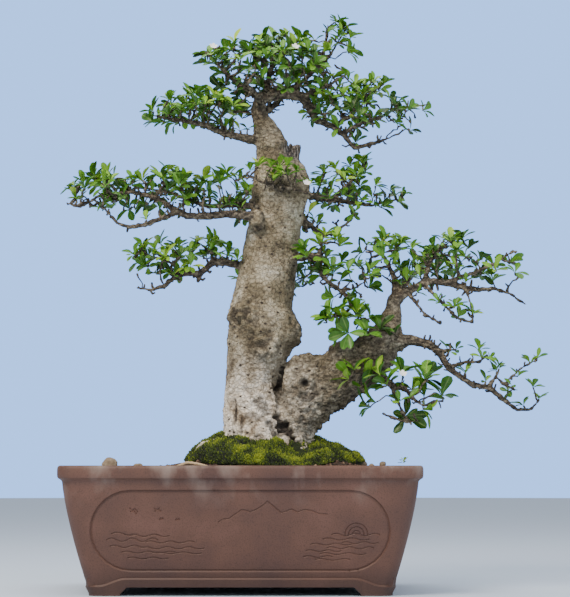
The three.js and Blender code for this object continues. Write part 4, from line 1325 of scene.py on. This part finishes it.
def build_moss(node, material, tuft):
    name = node.replace("moss", "moss_sheet")
    sheet, points, out = fine_skin(name, node, MOSS_VOXEL, 0.5, 3)
    lift = 5.5 * wart_bumps(points * [1, 1, 0.2], MOSS_LUMP) + 1.6 * noise_at(points, 8, 8.8) - 1.2
    upward = smoothstep(0.0, 0.5, out[:, 2])
    x = (points[:, 0] - POT_MIDDLE.x) / MM
    front = smoothstep(-10, -26, (points[:, 1] - POT_MIDDLE.y) / MM)
    height = (points[:, 2] - RIM) / MM + SOIL_DROP
    swell = MOSS_SWELL * np.exp(-(((x + 45) / 45) ** 2))
    swell -= MOSS_DIP * front * np.exp(-(((x - 82) / 28) ** 2))
    not_under = smoothstep(-0.4, 0.1, out[:, 2])
    rise = lift * upward + swell * np.clip(height, 0, None) * not_under
    move_to(sheet, points + np.array([0, 0, 1]) * (rise * MM)[:, None])
    # Painted light and shade: the moss is lighter on top of its lumps and darker in the hollows between
    # them.
    paint(sheet, "tone", np.clip(0.36 + 0.09 * lift * upward, 0, 0.85))
    shade_smooth(sheet)
    present(sheet, material, [node])
    places, up = surface_places(sheet, MOSS_TUFTS, -0.25)
    lit_lump_tops = wart_bumps(places * [1, 1, 0.2], MOSS_LUMP)
    frames = []
    for place, normal in zip(places, up):
        lean = (Vector(normal) * 0.7 + UP * 0.5 + Vector(RANDOM.normal(0, 0.25, 3))).normalized()
        side = lean.orthogonal().normalized()
        tall = RANDOM.uniform(1.8, 3.6) * MM
        frames.append(facing(Vector(place) - lean * 0.0006, side, lean, tall, 0.8))
    # Painted light: tufts on top of the lumps get a lighter tone.
    tones = RANDOM.uniform(0.3, 0.72, len(frames)) + 0.42 * lit_lump_tops
    pile = scatter(name.replace("sheet", "pile"), tuft, frames, tones)
    present(pile, material)


def grain_template():
    """A broken grain with flat facets, 1 across."""
    deselect()
    bpy.ops.mesh.primitive_ico_sphere_add(subdivisions=1, radius=0.5)
    grain = bpy.context.object
    grain.name = "grain_template"
    bpy.ops.object.mode_set(mode="EDIT")
    bpy.ops.transform.vertex_random(offset=0.12, seed=7)
    bpy.ops.object.mode_set(mode="OBJECT")
    return grain


def build_grains(material, grain):
    """Grains of baked clay and lava over the open soil."""
    covers = copy_of("covers", [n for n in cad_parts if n.startswith("moss_")])
    above = BVHTree.FromObject(covers, bpy.context.evaluated_depsgraph_get())
    bpy.data.objects.remove(covers)
    soil = copy_of("soil_shape", ["soil"])
    places, _ = surface_places(soil, SOIL_GRAINS, 0.6, above)
    bpy.data.objects.remove(soil)
    frames = []
    for place in places:
        along = Vector(RANDOM.normal(0, 1, 3)).normalized()
        sieve = RANDOM.choice([2.2, 3.2, 4.4, 5.8], p=[0.35, 0.35, 0.22, 0.08])
        size = sieve * RANDOM.uniform(0.8, 1.2) * MM
        frames.append(facing(Vector(place) + UP * size * 0.12, along, along.orthogonal(), size, 0.85))
    tones = np.clip(RANDOM.normal(0.42, 0.22, len(frames)), 0, 1)
    grains = scatter("soil_grains", grain, frames, tones)
    present(grains, material)
    activate(grains)
    bpy.ops.object.shade_flat()


def build_stones(material):
    for node in sorted(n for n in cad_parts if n.startswith("pebble_")):
        stone = copy_of(node.replace("pebble", "worn_pebble"), [node])
        finish_with(stone, "SUBSURF", levels=2, render_levels=2)
        points = coordinates(stone)
        out = normals(stone)
        lump = 1.5 * noise_at(points, 9, 1.1) + 0.6 * noise_at(points, 3.5, 3.3)
        move_to(stone, points + out * (lump * MM)[:, None])
        paint(stone, "tone", np.full(len(points), 0.5))
        shade_smooth(stone)
        present(stone, material, [node])


def build_dry_root(material):
    root, points, out = fine_skin("dry_root_strand", "dry_root", DRY_ROOT_VOXEL, 0.6, 4)
    move_to(root, points + out * (0.35 * noise_at(points, 3, 2.0) * MM)[:, None])
    paint(root, "tone", np.full(len(points), 0.6))
    shade_smooth(root)
    present(root, material, ["dry_root"])


def build_sprout(leaf, material):
    low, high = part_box("weed_sprout")
    middle = (low + high) / 2
    foot = Vector((middle.x, middle.y, low.z + 0.002))
    frames = rosette(foot + UP * 0.006, UP, 5, 9) + rosette(foot + UP * 0.010, UP, 4, 7)
    sprout = scatter("sprout_leaves", leaf, frames, [0.85] * len(frames))
    present(sprout, material, ["weed_sprout"])


# ---- Floor and light ----------------------------------------------------------------------------

FLOOR_RADIUS = 8
# Each lamp's place from the rim in millimetres, its width in metres, its power and its tint.
LAMPS = {
    "key": ((-900, -1500, 1900), 1.2, 66, "#fff4e6"),
    "fill": ((1600, -1500, 900), 1.8, 14, "#eef4ff"),
    "top": ((100, 500, 2200), 1.4, 20, "#ffffff"),
}
LIT_PLACE = (60, 0, 250)


def add_stage():
    deselect()
    ground = (0, 0, CAD_BOX[0][2])
    bpy.ops.mesh.primitive_circle_add(vertices=128, radius=FLOOR_RADIUS, fill_type="NGON", location=ground)
    floor = bpy.context.object
    floor.name = "studio_floor"
    material, shader, _, _ = start("pale_floor", Roughness=0.9)
    shader.inputs["Base Color"].default_value = colour("#c9d6e6")
    floor.data.materials.append(material)


def area_light(name, place, size, power, tint):
    light = bpy.data.objects.new(name, bpy.data.lights.new(name, "AREA"))
    bpy.context.scene.collection.objects.link(light)
    light.data.shape = "DISK"
    light.data.size = size
    light.data.energy = power
    light.data.color = colour(tint)[:3]
    light.location = from_rim(*place)
    aim = from_rim(*LIT_PLACE) - light.location
    light.rotation_euler = aim.to_track_quat("-Z", "Y").to_euler()


def add_light():
    for name, settings in LAMPS.items():
        area_light(name, *settings)
    world = bpy.data.worlds.new("studio")
    bpy.context.scene.world = world
    world.use_nodes = True
    sky = world.node_tree.nodes["Background"]
    sky.inputs["Color"].default_value = colour("#e3e9f2")
    sky.inputs["Strength"].default_value = 0.85
    add = partial(add_node, world.node_tree)
    backdrop = add("Background", {"Color": colour("#8cbaff"), "Strength": 2.1})
    seen = add("LightPath").outputs["Is Camera Ray"]
    choice = add("MixShader", {0: seen, 1: sky, 2: backdrop})
    link = world.node_tree.links.new
    link(choice.outputs[0], world.node_tree.nodes["World Output"].inputs["Surface"])


# ---- Assembly -----------------------------------------------------------------------------------

add_camera()

clay = fired_clay()
bark_material = bark()
leaf_material = leaf_skin()
petal_material = petal_skin()
moss_material = moss_pile()
soil_material = mineral(
    "moist_soil", [(0.0, "#1f1712"), (0.4, "#3d2d22"), (0.7, "#6a5140"), (1.0, "#a58a6a")], 3
)
stone_material = mineral("worn_stone", [(0.0, "#4f4436"), (0.5, "#8a7862"), (1.0, "#b8a88e")], 5)
root_material = mineral("dry_root", [(0.0, "#7d6547"), (0.5, "#b79c78"), (1.0, "#d8c3a0")], 2)
plastic = screen_plastic()

build_pot(clay)
wood_points, wood_thick, wood_out = build_wood(bark_material)

leaf = leaf_template()
for pad, (spacing, size, bare_share) in PADS.items():
    leafy(pad, wood_points, wood_thick, leaf, leaf_material, bark_material, spacing, size, bare_share)
build_spurs(wood_points, wood_thick, wood_out, leaf, leaf_material, bark_material)
flower = flower_template()
build_flowers(flower, petal_material)
build_sprout(leaf, leaf_material)

tuft = tuft_template()
for node in sorted(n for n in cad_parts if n.startswith("moss_")):
    build_moss(node, moss_material, tuft)
grain = grain_template()
build_grains(soil_material, grain)
build_stones(stone_material)
build_dry_root(root_material)
for template in (leaf, flower, tuft, grain):
    bpy.data.objects.remove(template)

paint(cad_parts["soil"], "tone", np.full(len(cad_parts["soil"].data.vertices), 0.3))
for node, material in {
    "soil": soil_material,
    "drain_screen_left": plastic,
    "drain_screen_right": plastic,
}.items():
    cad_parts[node].data.materials.clear()
    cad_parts[node].data.materials.append(material)

add_stage()
add_light()
